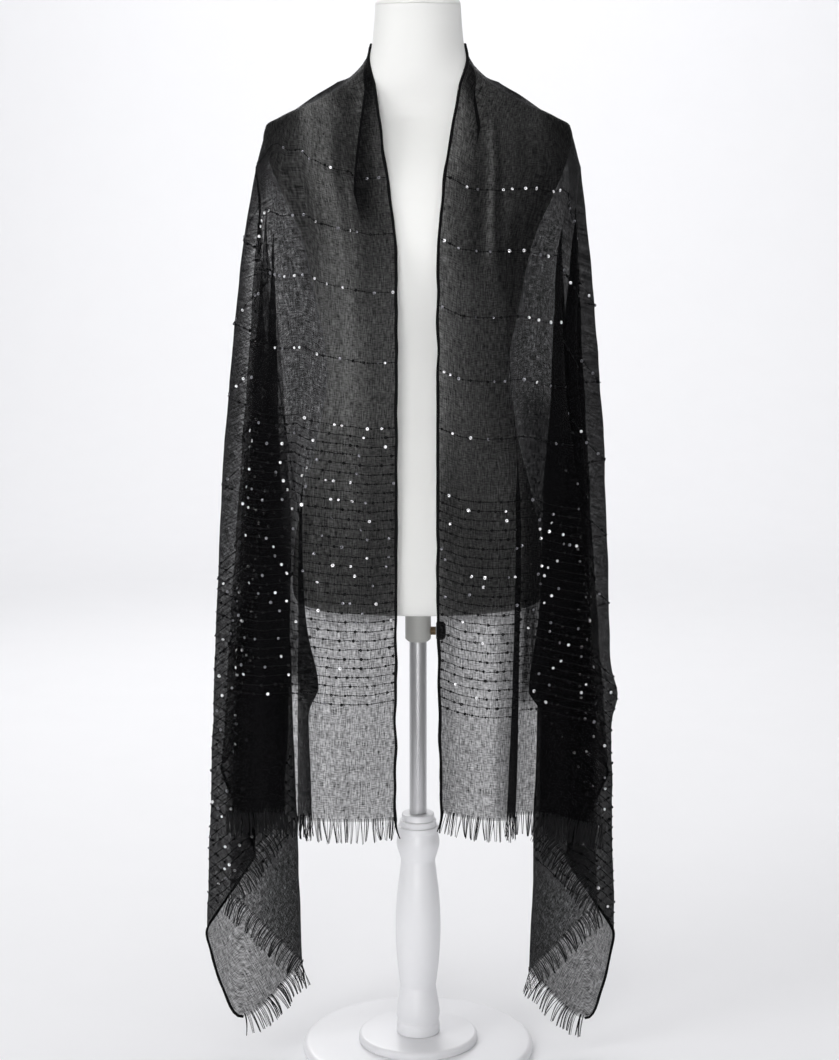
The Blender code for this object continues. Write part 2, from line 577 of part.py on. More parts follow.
# ---------------------------------------------------------------- the stole
def build_stole():
    black = material("sheer_black", (0.02, 0.02, 0.02), 0.7)
    rows, lines, own = stole_grid()
    normals = grid_normals(rows)
    names = [line.name for line in lines]
    centre = names.index("back_centre")
    left_turn = own[names.index("side_turn")]
    right_turn = own[len(names) - 1 - names[::-1].index("side_turn")]
    left_corner = own[names.index("corner")]
    right_corner = own[len(names) - 1 - names[::-1].index("corner")]
    neck = neck_columns(lines, own)
    width = len(rows[0])
    # Along the ridge the front and back stretches share the ridge's own points and normals.
    for j in range(width):
        if not neck[0] < j < neck[-1]:
            side = -1 if j < neck[0] else 1 if j > neck[1] else math.copysign(1, rows[0][j].x)
            x = NECK_EDGE + (SHOULDER_TIP - NECK_EDGE) * ridge_share(j, lines, own)
            rows[0][j] = on_ridge(x, side)
            normals[0][j] = ridge_normal(x, side)
    thick = [[CLOTH_WALL] * width for _ in rows]
    for row in thick:
        row[0] = row[-1] = ROLLED_EDGE
    for j in range(left_corner, right_corner + 1):
        thick[-1][j] = ROLLED_EDGE
    for j in range(neck[0] + 1, neck[-1]):
        thick[0][j] = ROLLED_EDGE
    stretches = (
        ("stole_left_front", 0, left_turn, -1),
        ("stole_back", left_turn, right_turn, 1),
        ("stole_right_front", right_turn, width - 1, -1),
    )
    for name, first, last, way in stretches:
        part_rows = [[point.copy() for point in row[first:last + 1]] for row in rows]
        part_normals = [row[first:last + 1] for row in normals]
        part_thick = [row[first:last + 1] for row in thick]
        for k in range(last - first + 1):
            if not neck[0] < first + k < neck[-1]:
                part_rows[0][k].y += way * SEAM / 2
        for row in part_rows[1:]:
            if first:
                row[0] += (row[1] - row[0]).normalized() * SEAM / 2
            if last < width - 1:
                row[-1] += (row[-2] - row[-1]).normalized() * SEAM / 2
        wall(name, part_rows, part_normals, part_thick, black)
    build_fringe("fringe_left", rows, normals, range(0, left_corner + 1), black)
    build_fringe("fringe_right", rows, normals, range(width - 1, right_corner - 1, -1), black)


def build_fringe(name, rows, normals, columns, finish_of):
    """A narrow strip under the hem, with loose strands below it."""
    columns = list(columns)
    hem = [rows[-1][j] for j in columns]
    above = [rows[-2][j] for j in columns]
    outward = [normals[-1][j] for j in columns]
    threads, strips = [], []
    for k in range(len(columns)):
        before, after = hem[k] - hem[max(k - 1, 0)], hem[min(k + 1, len(hem) - 1)] - hem[k]
        thread = (before + after).cross(outward[k]).normalized()
        if thread.dot(hem[k] - above[k]) < 0:
            thread = -thread
        turns = 0 < k < len(hem) - 1 and before.angle(after) > SHARP_TURN
        threads.append(DOWN if turns else (thread + DOWN * STRAND_WEIGHT).normalized())
        strips.append((HEM_GAP_AT_FOLD, STRIP_AT_FOLD) if turns else (HEM_GAP, FRINGE_STRIP))
    stations = []
    for k in range(len(columns) - 1):
        length = (hem[k + 1] - hem[k]).length
        strands = int(length / STRAND_PITCH + 0.5)
        if strands == 0 and length > 1.6 * STRAND_ROOT + 2 * MM:
            strands = 1
        stations.append((k, 0.0, False))
        for n in range(strands):
            middle = (n + 0.5) / strands
            half = STRAND_ROOT / 2 / length
            stations.append((k, middle - half, True))
            stations.append((k, middle + half, False))
    stations.append((len(columns) - 2, 1.0, False))
    mesh = bmesh.new()
    rings = []
    for k, share, _ in stations:
        point = hem[k].lerp(hem[k + 1], share)
        out = outward[k].lerp(outward[k + 1], share).normalized()
        fall = threads[k].lerp(threads[k + 1], share).normalized()
        ring = []
        for near, far in zip(strips[k], strips[k + 1]):
            drop = near + (far - near) * share
            place = point + fall * drop
            half = out * CLOTH_WALL / 2
            ring.append((mesh.verts.new(place + half), mesh.verts.new(place - half)))
        rings.append((ring, fall, out))
    for (a, _, _), (b, _, _) in zip(rings, rings[1:]):
        mesh.faces.new((a[0][0], a[1][0], b[1][0], b[0][0]))
        mesh.faces.new((a[0][1], b[0][1], b[1][1], a[1][1]))
        mesh.faces.new((a[0][0], b[0][0], b[0][1], a[0][1]))
    for ring, first in ((rings[0][0], True), (rings[-1][0], False)):
        mesh.faces.new((ring[0][0], ring[0][1], ring[1][1], ring[1][0]))
    for index, ((a, fall, out), (b, _, _)) in enumerate(zip(rings, rings[1:])):
        root = (a[1][0], b[1][0], b[1][1], a[1][1])
        if not stations[index][2]:
            mesh.faces.new(root)
            continue
        middle = sum((corner.co for corner in root), Vector()) / 4
        tip = [
            mesh.verts.new(middle + (corner.co - middle) * (STRAND_TIP / STRAND_ROOT)
                           + fall * (FRINGE_LENGTH + 2 * MM * math.sin(1.7 * index)))
            for corner in root
        ]
        for c in range(4):
            d = (c + 1) % 4
            mesh.faces.new((root[c], root[d], tip[d], tip[c]))
        mesh.faces.new(tip)
    bmesh.ops.recalc_face_normals(mesh, faces=mesh.faces)
    return finish(name, mesh, finish_of)


for old in list(bpy.data.objects):
    bpy.data.objects.remove(old, do_unlink=True)
build_form()
build_stand()
build_clamp()
build_stole()
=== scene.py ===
"""A sheer black evening stole, laid round the neck of a white limbless dress form on a turned stand.

Metres, +Z up; the form faces -Y and +X is to the viewer's right. Each section below is one piece or
group of like pieces, in the order in which the object is put together.
"""
import math
import random
from collections import namedtuple

import bmesh
import bpy
import numpy as np
from mathutils import Matrix, Vector, noise


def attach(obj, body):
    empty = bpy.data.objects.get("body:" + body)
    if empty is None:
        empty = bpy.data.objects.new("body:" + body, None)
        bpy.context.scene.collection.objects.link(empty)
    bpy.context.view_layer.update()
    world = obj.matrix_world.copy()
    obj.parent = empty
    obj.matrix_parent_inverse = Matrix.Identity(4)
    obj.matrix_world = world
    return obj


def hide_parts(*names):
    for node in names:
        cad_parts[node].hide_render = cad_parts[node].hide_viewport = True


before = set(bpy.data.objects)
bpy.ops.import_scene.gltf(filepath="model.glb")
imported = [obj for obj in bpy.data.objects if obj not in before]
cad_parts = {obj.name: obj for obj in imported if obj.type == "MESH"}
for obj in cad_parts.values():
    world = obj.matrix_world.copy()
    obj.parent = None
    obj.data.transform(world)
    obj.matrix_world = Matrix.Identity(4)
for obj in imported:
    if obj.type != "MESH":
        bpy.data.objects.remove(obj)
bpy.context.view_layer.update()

# ------------------------------------------------------------------------------ the room
# A pale seamless paper sweep, lit on its own, and soft boxes round the object: a large key at the
# left, a weak fill at the right, one behind, and a small lamp near the camera that catches the
# sequins. The camera stands at shoulder height and looks down a little.
MM = 0.001
scene = bpy.context.scene
CAMERA_PLACE = (0.0018, -2.8, 1.171)
CAMERA_PITCH = 9.9              # degrees below level
CAMERA_LENS = 77.2
PAPER_HALF_WIDTH = 7.0
PAPER_FRONT = -6.0
PAPER_BEND_STARTS = 3.8
PAPER_BEND = 2.0
PAPER_TOP = 6.0
BEND_STEPS = 12
PULP_CLOUDS = 111 * MM
ROOM_LIGHT = 0.40
SHEER_LAYERS = 32               # that light may pass, one behind another


def linear(code):
    """The linear colour that a shader takes, from an sRGB hex code."""
    parts = [int(code[k:k + 2], 16) / 255 for k in (1, 3, 5)]
    return (*(p / 12.92 if p <= 0.04045 else ((p + 0.055) / 1.055) ** 2.4 for p in parts), 1.0)


def feed(node, inputs):
    """Give a node's inputs their values or links; a node as a value lends its first output in use."""
    for socket, value in dict(inputs).items():
        if isinstance(value, bpy.types.Node):
            value = next(output for output in value.outputs if output.enabled)
        if isinstance(value, bpy.types.NodeSocket):
            node.id_data.links.new(value, node.inputs[socket])
        else:
            node.inputs[socket].default_value = value


def put(tree, kind, inputs=(), **settings):
    """Add a node with its own settings, and feed its inputs."""
    node = tree.nodes.new("ShaderNode" + kind)
    for name, value in settings.items():
        setattr(node, name, value)
    feed(node, inputs)
    return node


def new_finish(name, **sockets):
    """A named material with its shader's sockets set; underscores stand for spaces."""
    made = bpy.data.materials.new(name)
    made.use_nodes = True
    shader = made.node_tree.nodes["Principled BSDF"]
    for socket, value in sockets.items():
        shader.inputs[socket.replace("_", " ")].default_value = value
    return made, made.node_tree, shader


def keep(mesh, name, material, sharp=40):
    """Turn a bmesh into a piece of the object, smooth but for edges sharper than this angle."""
    data = bpy.data.meshes.new(name)
    mesh.to_mesh(data)
    mesh.free()
    data.shade_smooth()
    if sharp:
        data.set_sharp_from_angle(angle=math.radians(sharp))
    data.materials.append(material)
    piece = bpy.data.objects.new(name, data)
    scene.collection.objects.link(piece)
    return piece


# Matt bleached paper: nearly white and even, with very faint clouds of pulp.
paper_white, tree, shader = new_finish("seamless_paper", Roughness=0.9)
where = put(tree, "TexCoord").outputs["Object"]
pulp = put(tree, "TexNoise", {"Vector": where, "Scale": 1 / PULP_CLOUDS, "Detail": 3.0})
tone = put(tree, "Mix", {0: pulp, 6: linear("#f5f5f7"), 7: linear("#f7f7f9")}, data_type="RGBA")
feed(shader, {"Base Color": tone})
sweep = bmesh.new()
profile = [(PAPER_FRONT, 0), (PAPER_BEND_STARTS, 0)]
for step in range(1, BEND_STEPS + 1):
    turn = math.radians(90 * step / BEND_STEPS)
    profile.append((PAPER_BEND_STARTS + PAPER_BEND * math.sin(turn), PAPER_BEND * (1 - math.cos(turn))))
profile.append((PAPER_BEND_STARTS + PAPER_BEND, PAPER_TOP))
line = [sweep.verts.new((-PAPER_HALF_WIDTH, y, z)) for y, z in profile]
edges = [sweep.edges.new(pair) for pair in zip(line, line[1:])]
moved = bmesh.ops.extrude_edge_only(sweep, edges=edges)["geom"]
bmesh.ops.translate(sweep, verts=[g for g in moved if isinstance(g, bmesh.types.BMVert)],
                    vec=(2 * PAPER_HALF_WIDTH, 0, 0))
bmesh.ops.recalc_face_normals(sweep, faces=sweep.faces)
keep(sweep, "paper_sweep", paper_white)

camera = bpy.data.objects.new("camera", bpy.data.cameras.new("camera"))
camera.data.sensor_width = 36
camera.data.lens = CAMERA_LENS
camera.location = CAMERA_PLACE
camera.rotation_euler = (math.radians(90 - CAMERA_PITCH), 0, 0)
scene.collection.objects.link(camera)
scene.camera = camera

Lamp = namedtuple("Lamp", "name place aim wide high spread watts")      # spread in degrees
for lamp in (
    Lamp("key_softbox", (-2.7, -1.8, 2.2), (0, 0, 0.9), 1.6, 2.2, 180, 36),
    Lamp("front_softbox", (-0.4, -3.4, 0.7), (0, 0, 0.75), 1.4, 1.0, 36, 2.9),
    Lamp("fill_softbox", (2.8, -2.2, 1.8), (0, 0, 0.8), 1.6, 2.0, 180, 1),
    Lamp("sparkle_lamp", (-0.25, -2.7, 1.75), (0, 0, 0.7), 0.35, 0.35, 180, 4),
    Lamp("overhead", (0.4, 0.3, 3.4), (0.3, 0, 0), 2.4, 2.4, 180, 21.5),
    Lamp("back_softbox", (-0.8, 2.9, 2.4), (0, 0, 0.8), 1.6, 1.6, 120, 16),
    Lamp("paper_wash", (0.0, 3.4, 3.8), (0.0, 5.8, 0.7), 4.0, 1.0, 180, 77),
):
    light = bpy.data.lights.new(lamp.name, "AREA")
    light.shape = "RECTANGLE"
    light.size, light.size_y, light.energy = lamp.wide, lamp.high, lamp.watts
    light.spread = math.radians(lamp.spread)
    holder = bpy.data.objects.new(lamp.name, light)
    holder.location = lamp.place
    holder.rotation_euler = (Vector(lamp.aim) - Vector(lamp.place)).to_track_quat("-Z", "Y").to_euler()
    holder.visible_camera = False
    scene.collection.objects.link(holder)

scene.world = bpy.data.worlds.new("pale_room")
scene.world.use_nodes = True
feed(scene.world.node_tree.nodes["Background"], {"Color": linear("#fbfbfd"), "Strength": ROOM_LIGHT})
scene.view_settings.view_transform = "Standard"
scene.cycles.transparent_max_bounces = SHEER_LAYERS

# ------------------------------------------------------------------------------ base and column
# The round base, its raised inner disc and the column are turned beech, sprayed with white lacquer.
# The inner disc is glued on the base and the column stands on it.
BASE_RADIUS = 0.149
BASE_HEIGHT = 0.012
PLINTH_RADIUS = 0.077
PLINTH_TOP = 0.022
SEAM = 0.3 * MM                 # between pieces that touch
COLUMN_FOOT = PLINTH_TOP + SEAM
Turn = namedtuple("Turn", "height radius ease")    # ease: size of the rounding at this corner, mm
COLUMN = (
    Turn(0.0000, 0.0279, 0.8), Turn(0.0120, 0.0279, 1.6), Turn(0.0150, 0.0262, 0.9), Turn(0.0270, 0.0285, 6),
    Turn(0.0420, 0.0262, 8), Turn(0.0630, 0.0226, 0.5), Turn(0.0700, 0.0240, 2), Turn(0.1000, 0.0275, 20),
    Turn(0.1430, 0.0296, 25), Turn(0.1850, 0.0275, 25), Turn(0.2180, 0.0232, 12), Turn(0.2320, 0.0217, 3),
    Turn(0.2400, 0.0242, 6), Turn(0.2545, 0.0283, 8), Turn(0.2660, 0.0258, 2.5), Turn(0.2705, 0.0256, 0.5),
    Turn(0.2708, 0.0262, 0.5), Turn(0.2772, 0.0260, 1.6), Turn(0.2776, 0.0234, 0.4), Turn(0.2850, 0.0234, 1.4),
    Turn(0.2854, 0.0208, 0.4), Turn(0.2935, 0.0205, 1.6),
)
ROUNDING_STEPS = 5


def eased(outline):
    """Round the corners of an outline of (radius, height, ease in mm)."""
    points = [Vector(corner[:2]) for corner in outline]
    made = [points[0]]
    for k in range(1, len(outline) - 1):
        before, corner, after = points[k - 1:k + 2]
        reach = [min(outline[k][2] * MM, (other - corner).length * 0.499) for other in (before, after)]
        start = corner + (before - corner).normalized() * reach[0]
        end = corner + (after - corner).normalized() * reach[1]
        for step in range(ROUNDING_STEPS + 1):
            u = step / ROUNDING_STEPS
            made.append(start * (1 - u) ** 2 + corner * 2 * u * (1 - u) + end * u**2)
    return made + [points[-1]]


def turned(outline, sides=96):
    """Turn an outline of (radius, height) points round the upright axis, as on a lathe."""
    mesh = bmesh.new()
    line = [mesh.verts.new((radius, 0, height)) for radius, height in outline]
    edges = [mesh.edges.new(pair) for pair in zip(line, line[1:])]
    bmesh.ops.spin(mesh, geom=line + edges, cent=(0, 0, 0), axis=(0, 0, 1), angle=2 * math.pi,
                   steps=sides, use_merge=True, use_duplicate=False)
    bmesh.ops.remove_doubles(mesh, verts=mesh.verts, dist=0.01 * MM)
    bmesh.ops.recalc_face_normals(mesh, faces=mesh.faces)
    return mesh


# Sprayed lacquer on turned wood: a soft sheen, a faint orange peel and the ghost of the wood's turning.
LACQUER_PEEL = 2.5 * MM
TURNING_LINES = 1.1111 * MM
LACQUER_CLOUDS = 71.4 * MM
lacquer, tree, shader = new_finish("sprayed_lacquer", Roughness=0.32, Coat_Weight=0.25, Coat_Roughness=0.2)
where = put(tree, "TexCoord").outputs["Object"]
peel = put(tree, "TexNoise", {"Vector": where, "Scale": 1 / LACQUER_PEEL, "Detail": 2.0})
turning = put(tree, "Mapping", {"Vector": where, "Scale": (0.02, 0.02, 1.0)})
rings = put(tree, "TexNoise", {"Vector": turning, "Scale": 1 / TURNING_LINES, "Detail": 1.0})
both = put(tree, "Math", {0: peel, 1: rings}, operation="ADD")
bump = put(tree, "Bump", {"Strength": 0.06, "Distance": 0.2 * MM, "Height": both})
feed(shader, {"Normal": bump})
mottle = put(tree, "TexNoise", {"Vector": where, "Scale": 1 / LACQUER_CLOUDS, "Detail": 3.0})
tone = put(tree, "Mix", {0: mottle, 6: linear("#e7e7ea"), 7: linear("#eeeef0")}, data_type="RGBA")
feed(shader, {"Base Color": tone})

base_outline = eased((
    (0, 0, 0), (BASE_RADIUS - 1.5 * MM, 0, 0.5), (BASE_RADIUS, 1.5 * MM, 1),
    (BASE_RADIUS, BASE_HEIGHT - 4 * MM, 2.5), (BASE_RADIUS - 4 * MM, BASE_HEIGHT - 0.3 * MM, 3),
    (BASE_RADIUS - 12 * MM, BASE_HEIGHT, 2), (0, BASE_HEIGHT, 0),
))
base = keep(turned(base_outline, 128), "round_base", lacquer)
plinth_outline = eased((
    (0, BASE_HEIGHT + SEAM, 0), (PLINTH_RADIUS, BASE_HEIGHT + SEAM, 0.3),
    (PLINTH_RADIUS, PLINTH_TOP - 3 * MM, 2), (PLINTH_RADIUS - 3 * MM, PLINTH_TOP, 2), (0, PLINTH_TOP, 0),
))
plinth = keep(turned(plinth_outline), "inner_disc", lacquer)
column_outline = [(0, 0, 0)] + [(turn.radius, turn.height, turn.ease) for turn in COLUMN]
column_outline.append((0, COLUMN[-1].height, 0))
column_outline = [(radius, height + COLUMN_FOOT, ease) for radius, height, ease in column_outline]
column = keep(turned(eased(column_outline), 80), "turned_column", lacquer)
for piece, node in ((base, "base_disc"), (plinth, "base_plinth"), (column, "column")):
    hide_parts(node)
    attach(piece, "stand")

# ------------------------------------------------------------------------------ pole
# A drawn steel tube with a satin grey finish. It stands on the column, goes up into the form's bore,
# and the form slides on it.
POLE_RADIUS = 0.0109
POLE_FOOT = COLUMN_FOOT + COLUMN[-1].height + SEAM
POLE_TOP = 0.755
DRAWN_LINES = 0.5 * MM          # between the lines that the drawing die left
# Satin steel, drawn through a die: soft grey highlights, broken by faint lines along the tube.
satin_steel, tree, shader = new_finish("satin_steel", Base_Color=linear("#c6c6c8"), Metallic=0.6)
where = put(tree, "TexCoord").outputs["Object"]
stretched = put(tree, "Mapping", {"Vector": where, "Scale": (1.0, 1.0, 0.01)})
draw_lines = put(tree, "TexNoise", {"Vector": stretched, "Scale": 1 / DRAWN_LINES, "Detail": 2.0})
bump = put(tree, "Bump", {"Strength": 0.05, "Distance": 0.1 * MM, "Height": draw_lines})
feed(shader, {"Normal": bump})
rough = put(tree, "MapRange", {"Value": draw_lines, "To Min": 0.32, "To Max": 0.46})
feed(shader, {"Roughness": rough})
pole = keep(turned(eased((
    (0, POLE_FOOT, 0), (POLE_RADIUS, POLE_FOOT, 0.2), (POLE_RADIUS, POLE_TOP, 1), (0, POLE_TOP, 0),
)), 64), "pole_tube", satin_steel)
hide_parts("pole")
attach(pole, "stand")

# ------------------------------------------------------------------------------ dress form
# A limbless torso and neck of moulded shell, painted matt white, with a bore for the pole and a
# turned cap on the neck. Its sections are ovals a little squarer than an ellipse.
FORM_SQUARENESS = 2.15
Ring = namedtuple("Ring", "height half_width front back")
FORM = (
    Ring(0.5920, 0.1520, 0.097, 0.108), Ring(0.6080, 0.1570, 0.101, 0.112), Ring(0.6500, 0.1560, 0.101, 0.113),
    Ring(0.7280, 0.1415, 0.094, 0.106), Ring(0.8000, 0.1240, 0.086, 0.096), Ring(0.8860, 0.1120, 0.081, 0.088),
    Ring(0.9670, 0.1250, 0.097, 0.090), Ring(1.0400, 0.1400, 0.112, 0.094), Ring(1.1000, 0.1660, 0.099, 0.096),
    Ring(1.1400, 0.1815, 0.077, 0.088), Ring(1.1630, 0.1865, 0.061, 0.074), Ring(1.1790, 0.1830, 0.050, 0.060),
    Ring(1.1900, 0.1650, 0.046, 0.054), Ring(1.2020, 0.1400, 0.046, 0.054), Ring(1.2160, 0.1120, 0.048, 0.056),
    Ring(1.2340, 0.0830, 0.052, 0.057), Ring(1.2520, 0.0645, 0.054, 0.058), Ring(1.2730, 0.0560, 0.054, 0.056),
    Ring(1.3000, 0.0530, 0.052, 0.053), Ring(1.3225, 0.0515, 0.051, 0.052),
)
RIDGE_LOW, RIDGE_HIGH = FORM[10].height, FORM[17].height       # between which the shoulder ridge lies
BORE_RADIUS = POLE_RADIUS + 0.5 * MM
BORE_TOP = 0.800
RIM_ROUNDING = 0.006
RIM_DRAWS_IN = 0.04             # share of the half width that the rim's rounding takes
FORM_STEP = 0.005
SPRAY_PEBBLE = 1.8 * MM
PAINT_CLOUDS = 111 * MM
CAP_FOOT = FORM[-1].height + SEAM
CAP_TOP = CAP_FOOT + 0.016


def hermite(start, end, start_way, end_way, u):
    """A smooth run from start to end that leaves and arrives in the given ways."""
    return (
        start * (2 * u**3 - 3 * u**2 + 1) + end * (3 * u**2 - 2 * u**3)
        + start_way * (u**3 - 2 * u**2 + u) + end_way * (u**3 - u**2)
    )


def smooth(places, values, at):
    """Value at a place on a smooth line through the given values, without overshoot."""
    if places[0] > places[-1]:
        places, values = places[::-1], values[::-1]
    at = min(max(at, places[0]), places[-1])
    i = max(j for j in range(len(places) - 1) if places[j] <= at)
    slopes = [(values[j + 1] - values[j]) / (places[j + 1] - places[j]) for j in range(len(places) - 1)]

    def slope(j):
        if j == 0 or j == len(places) - 1:
            return slopes[0] if j == 0 else slopes[-1]
        before, after = slopes[j - 1], slopes[j]
        return 0.0 if before * after <= 0 else 2 * before * after / (before + after)

    span = places[i + 1] - places[i]
    return hermite(values[i], values[i + 1], span * slope(i), span * slope(i + 1), (at - places[i]) / span)


LEVELS = np.linspace(FORM[0].height, FORM[-1].height, 1200)
ring_heights = [ring.height for ring in FORM]
FORM_SIZES = {
    part: np.array([smooth(ring_heights, [getattr(ring, part) for ring in FORM], z) for z in LEVELS])
    for part in ("half_width", "front", "back")
}


def form_size(height, part):
    """Half width, front or back depth of the form at a height, or at many heights at once."""
    return np.interp(height, LEVELS, FORM_SIZES[part])


outline = [(0, BORE_TOP), (BORE_RADIUS, BORE_TOP), (BORE_RADIUS, FORM[0].height)]
outline += [(share, FORM[0].height) for share in (0.25, 0.5, 0.75, 0.9, 1 - RIM_DRAWS_IN)]
outline += [(1 - RIM_DRAWS_IN * (1 - math.sin(a)), FORM[0].height + RIM_ROUNDING * (1 - math.cos(a)))
            for a in (0.3, 0.6, 0.9, 1.2, math.pi / 2)]
steps = int((FORM[-1].height - FORM[0].height - RIM_ROUNDING) / FORM_STEP)
outline += [(1, FORM[0].height + RIM_ROUNDING + k * FORM_STEP) for k in range(1, steps)]
outline += [(1, FORM[-1].height), (0, FORM[-1].height)]
body = turned(outline)
for vertex in body.verts:
    x, y, z = vertex.co
    share = math.hypot(x, y)
    if share > 2 * BORE_RADIUS:
        c, s = x / share, y / share
        wide, deep = form_size(z, "half_width"), form_size(z, "front" if s < 0 else "back")
        vertex.co.x = share * wide * math.copysign(abs(c) ** (2 / FORM_SQUARENESS), c)
        vertex.co.y = share * deep * math.copysign(abs(s) ** (2 / FORM_SQUARENESS), s)

# Matt white paint on a moulded shell: even and soft, with a very fine pebble from the spray.
matt_white, tree, shader = new_finish("matt_white_paint", Roughness=0.55)
where = put(tree, "TexCoord").outputs["Object"]
pebble = put(tree, "TexNoise", {"Vector": where, "Scale": 1 / SPRAY_PEBBLE, "Detail": 3.0})
bump = put(tree, "Bump", {"Strength": 0.08, "Distance": 0.25 * MM, "Height": pebble})
feed(shader, {"Normal": bump})
clouds = put(tree, "TexNoise", {"Vector": where, "Scale": 1 / PAINT_CLOUDS, "Detail": 4.0})
tone = put(tree, "Mix", {0: clouds, 6: linear("#ececea"), 7: linear("#f6f6f3")}, data_type="RGBA")
feed(shader, {"Base Color": tone})

torso = keep(body, "form_body", matt_white)
cap_radius = FORM[-1].half_width
cap = keep(turned(eased((
    (0, CAP_FOOT, 0), (cap_radius - 0.6 * MM, CAP_FOOT, 0.3), (cap_radius, CAP_FOOT + 1.5 * MM, 1),
    (cap_radius - 1 * MM, CAP_FOOT + 4 * MM, 2), (cap_radius * 0.86, CAP_TOP - 4.5 * MM, 8),
    (cap_radius * 0.5, CAP_TOP - 0.6 * MM, 12), (0, CAP_TOP, 0),
)), 96), "form_neck_cap", matt_white)
for piece, node, slot in ((torso, "torso", "form_shell"), (cap, "neck_cap", "cap_shell")):
    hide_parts(node)
    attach(piece, "form")

# ------------------------------------------------------------------------------ clamp
# A grey enamelled collar is fixed under the form. A brass screw goes through it and presses on the
# pole, and a ribbed knob of black plastic is moulded on the screw's end.
COLLAR_RADIUS = 0.0162
COLLAR_BOTTOM = 0.5410
COLLAR_CHAMFER = 3 * MM
SCREW_LEVEL = 0.5535
SCREW_RADIUS = 0.0055
THREAD_PITCH = 1.25 * MM
SCREW_END = 0.0227
KNOB_RADIUS = 0.0120
KNOB_END = 0.0350
KNOB_RIBS = 8
RIB_DEPTH = 0.12                # share of the knob's radius
ENAMEL_GRIT = 0.9 * MM
TARNISH_SPOTS = 3.125 * MM
PLASTIC_GRAIN = 0.6 * MM

collar_top = FORM[0].height - SEAM
collar_mesh = turned([
    (BORE_RADIUS, collar_top), (BORE_RADIUS, COLLAR_BOTTOM), (COLLAR_RADIUS - COLLAR_CHAMFER, COLLAR_BOTTOM),
    (COLLAR_RADIUS - 0.2 * MM, COLLAR_BOTTOM + COLLAR_CHAMFER - 0.3 * MM),
    (COLLAR_RADIUS, COLLAR_BOTTOM + COLLAR_CHAMFER + 0.4 * MM),
    (COLLAR_RADIUS, collar_top), (BORE_RADIUS, collar_top),
], 80)
# Grey enamel, sprayed on steel: an even half gloss over a fine pebble.
grey_paint, tree, shader = new_finish("grey_enamel", Base_Color=linear("#b4b4b1"), Roughness=0.42)
where = put(tree, "TexCoord").outputs["Object"]
grit = put(tree, "TexNoise", {"Vector": where, "Scale": 1 / ENAMEL_GRIT, "Detail": 2.0})
bump = put(tree, "Bump", {"Strength": 0.12, "Distance": 0.15 * MM, "Height": grit})
feed(shader, {"Normal": bump})
collar = keep(collar_mesh, "clamp_ring", grey_paint)
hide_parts("clamp_collar")
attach(collar, "form")


def along_x(mesh, level):
    """Lay a piece that was turned upright along X, at a height."""
    for vertex in mesh.verts:
        x, y, z = vertex.co
        vertex.co = (z, x, y + level)
    return mesh


thread = [(0, POLE_RADIUS + SEAM, 0), (SCREW_RADIUS - 1.2 * MM, POLE_RADIUS + SEAM, 0.3)]
along = POLE_RADIUS + SEAM + 0.8 * MM
while along < SCREW_END - SEAM - THREAD_PITCH:
    thread += [(SCREW_RADIUS - 0.5 * MM, along, 0.1), (SCREW_RADIUS, along + THREAD_PITCH / 2, 0.1)]
    along += THREAD_PITCH
thread += [(SCREW_RADIUS - 0.5 * MM, SCREW_END - SEAM, 0.1), (0, SCREW_END - SEAM, 0)]
# Bare brass, cut with a thread: dulled and patchily tarnished.
screw_metal, tree, shader = new_finish("dull_brass", Metallic=0.85)
where = put(tree, "TexCoord").outputs["Object"]
tarnish = put(tree, "TexNoise", {"Vector": where, "Scale": 1 / TARNISH_SPOTS, "Detail": 3.0})
tone = put(tree, "Mix", {0: tarnish, 6: linear("#9a866c"), 7: linear("#7c6a54")}, data_type="RGBA")
feed(shader, {"Base Color": tone})
rough = put(tree, "MapRange", {"Value": tarnish, "From Min": 0.3, "From Max": 0.7,
                               "To Min": 0.32, "To Max": 0.5})
feed(shader, {"Roughness": rough})
screw = keep(along_x(turned(eased(thread), 48), SCREW_LEVEL), "clamp_thread", screw_metal)
knob_outline = eased((
    (0, SCREW_END, 0), (KNOB_RADIUS - 2 * MM, SCREW_END, 0.5), (KNOB_RADIUS, SCREW_END + 1.5 * MM, 1.2),
    (KNOB_RADIUS, KNOB_END - 3 * MM, 2), (KNOB_RADIUS - 3.5 * MM, KNOB_END - 0.2 * MM, 2), (0, KNOB_END, 0),
))
knob_mesh = turned(knob_outline, 96)
for vertex in knob_mesh.verts:
    x, y, z = vertex.co
    between_ribs = 0.5 - 0.5 * math.cos(KNOB_RIBS * math.atan2(y, x))
    vertex.co.xy *= 1 - RIB_DEPTH * (math.hypot(x, y) / KNOB_RADIUS) ** 2 * between_ribs
# Moulded black plastic: a half matt face with a fine grain.
knob_black, tree, shader = new_finish("moulded_black_plastic", Base_Color=linear("#17171a"), Roughness=0.42)
where = put(tree, "TexCoord").outputs["Object"]
grain = put(tree, "TexNoise", {"Vector": where, "Scale": 1 / PLASTIC_GRAIN, "Detail": 2.0})
bump = put(tree, "Bump", {"Strength": 0.2, "Distance": 0.1 * MM, "Height": grain})
feed(shader, {"Normal": bump})
knob = keep(along_x(knob_mesh, SCREW_LEVEL), "clamp_grip", knob_black)
for piece, node, slot in ((screw, "clamp_screw", "screw_metal"), (knob, "clamp_knob", "knob_plastic")):
    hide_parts(node)
    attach(piece, "clamp")

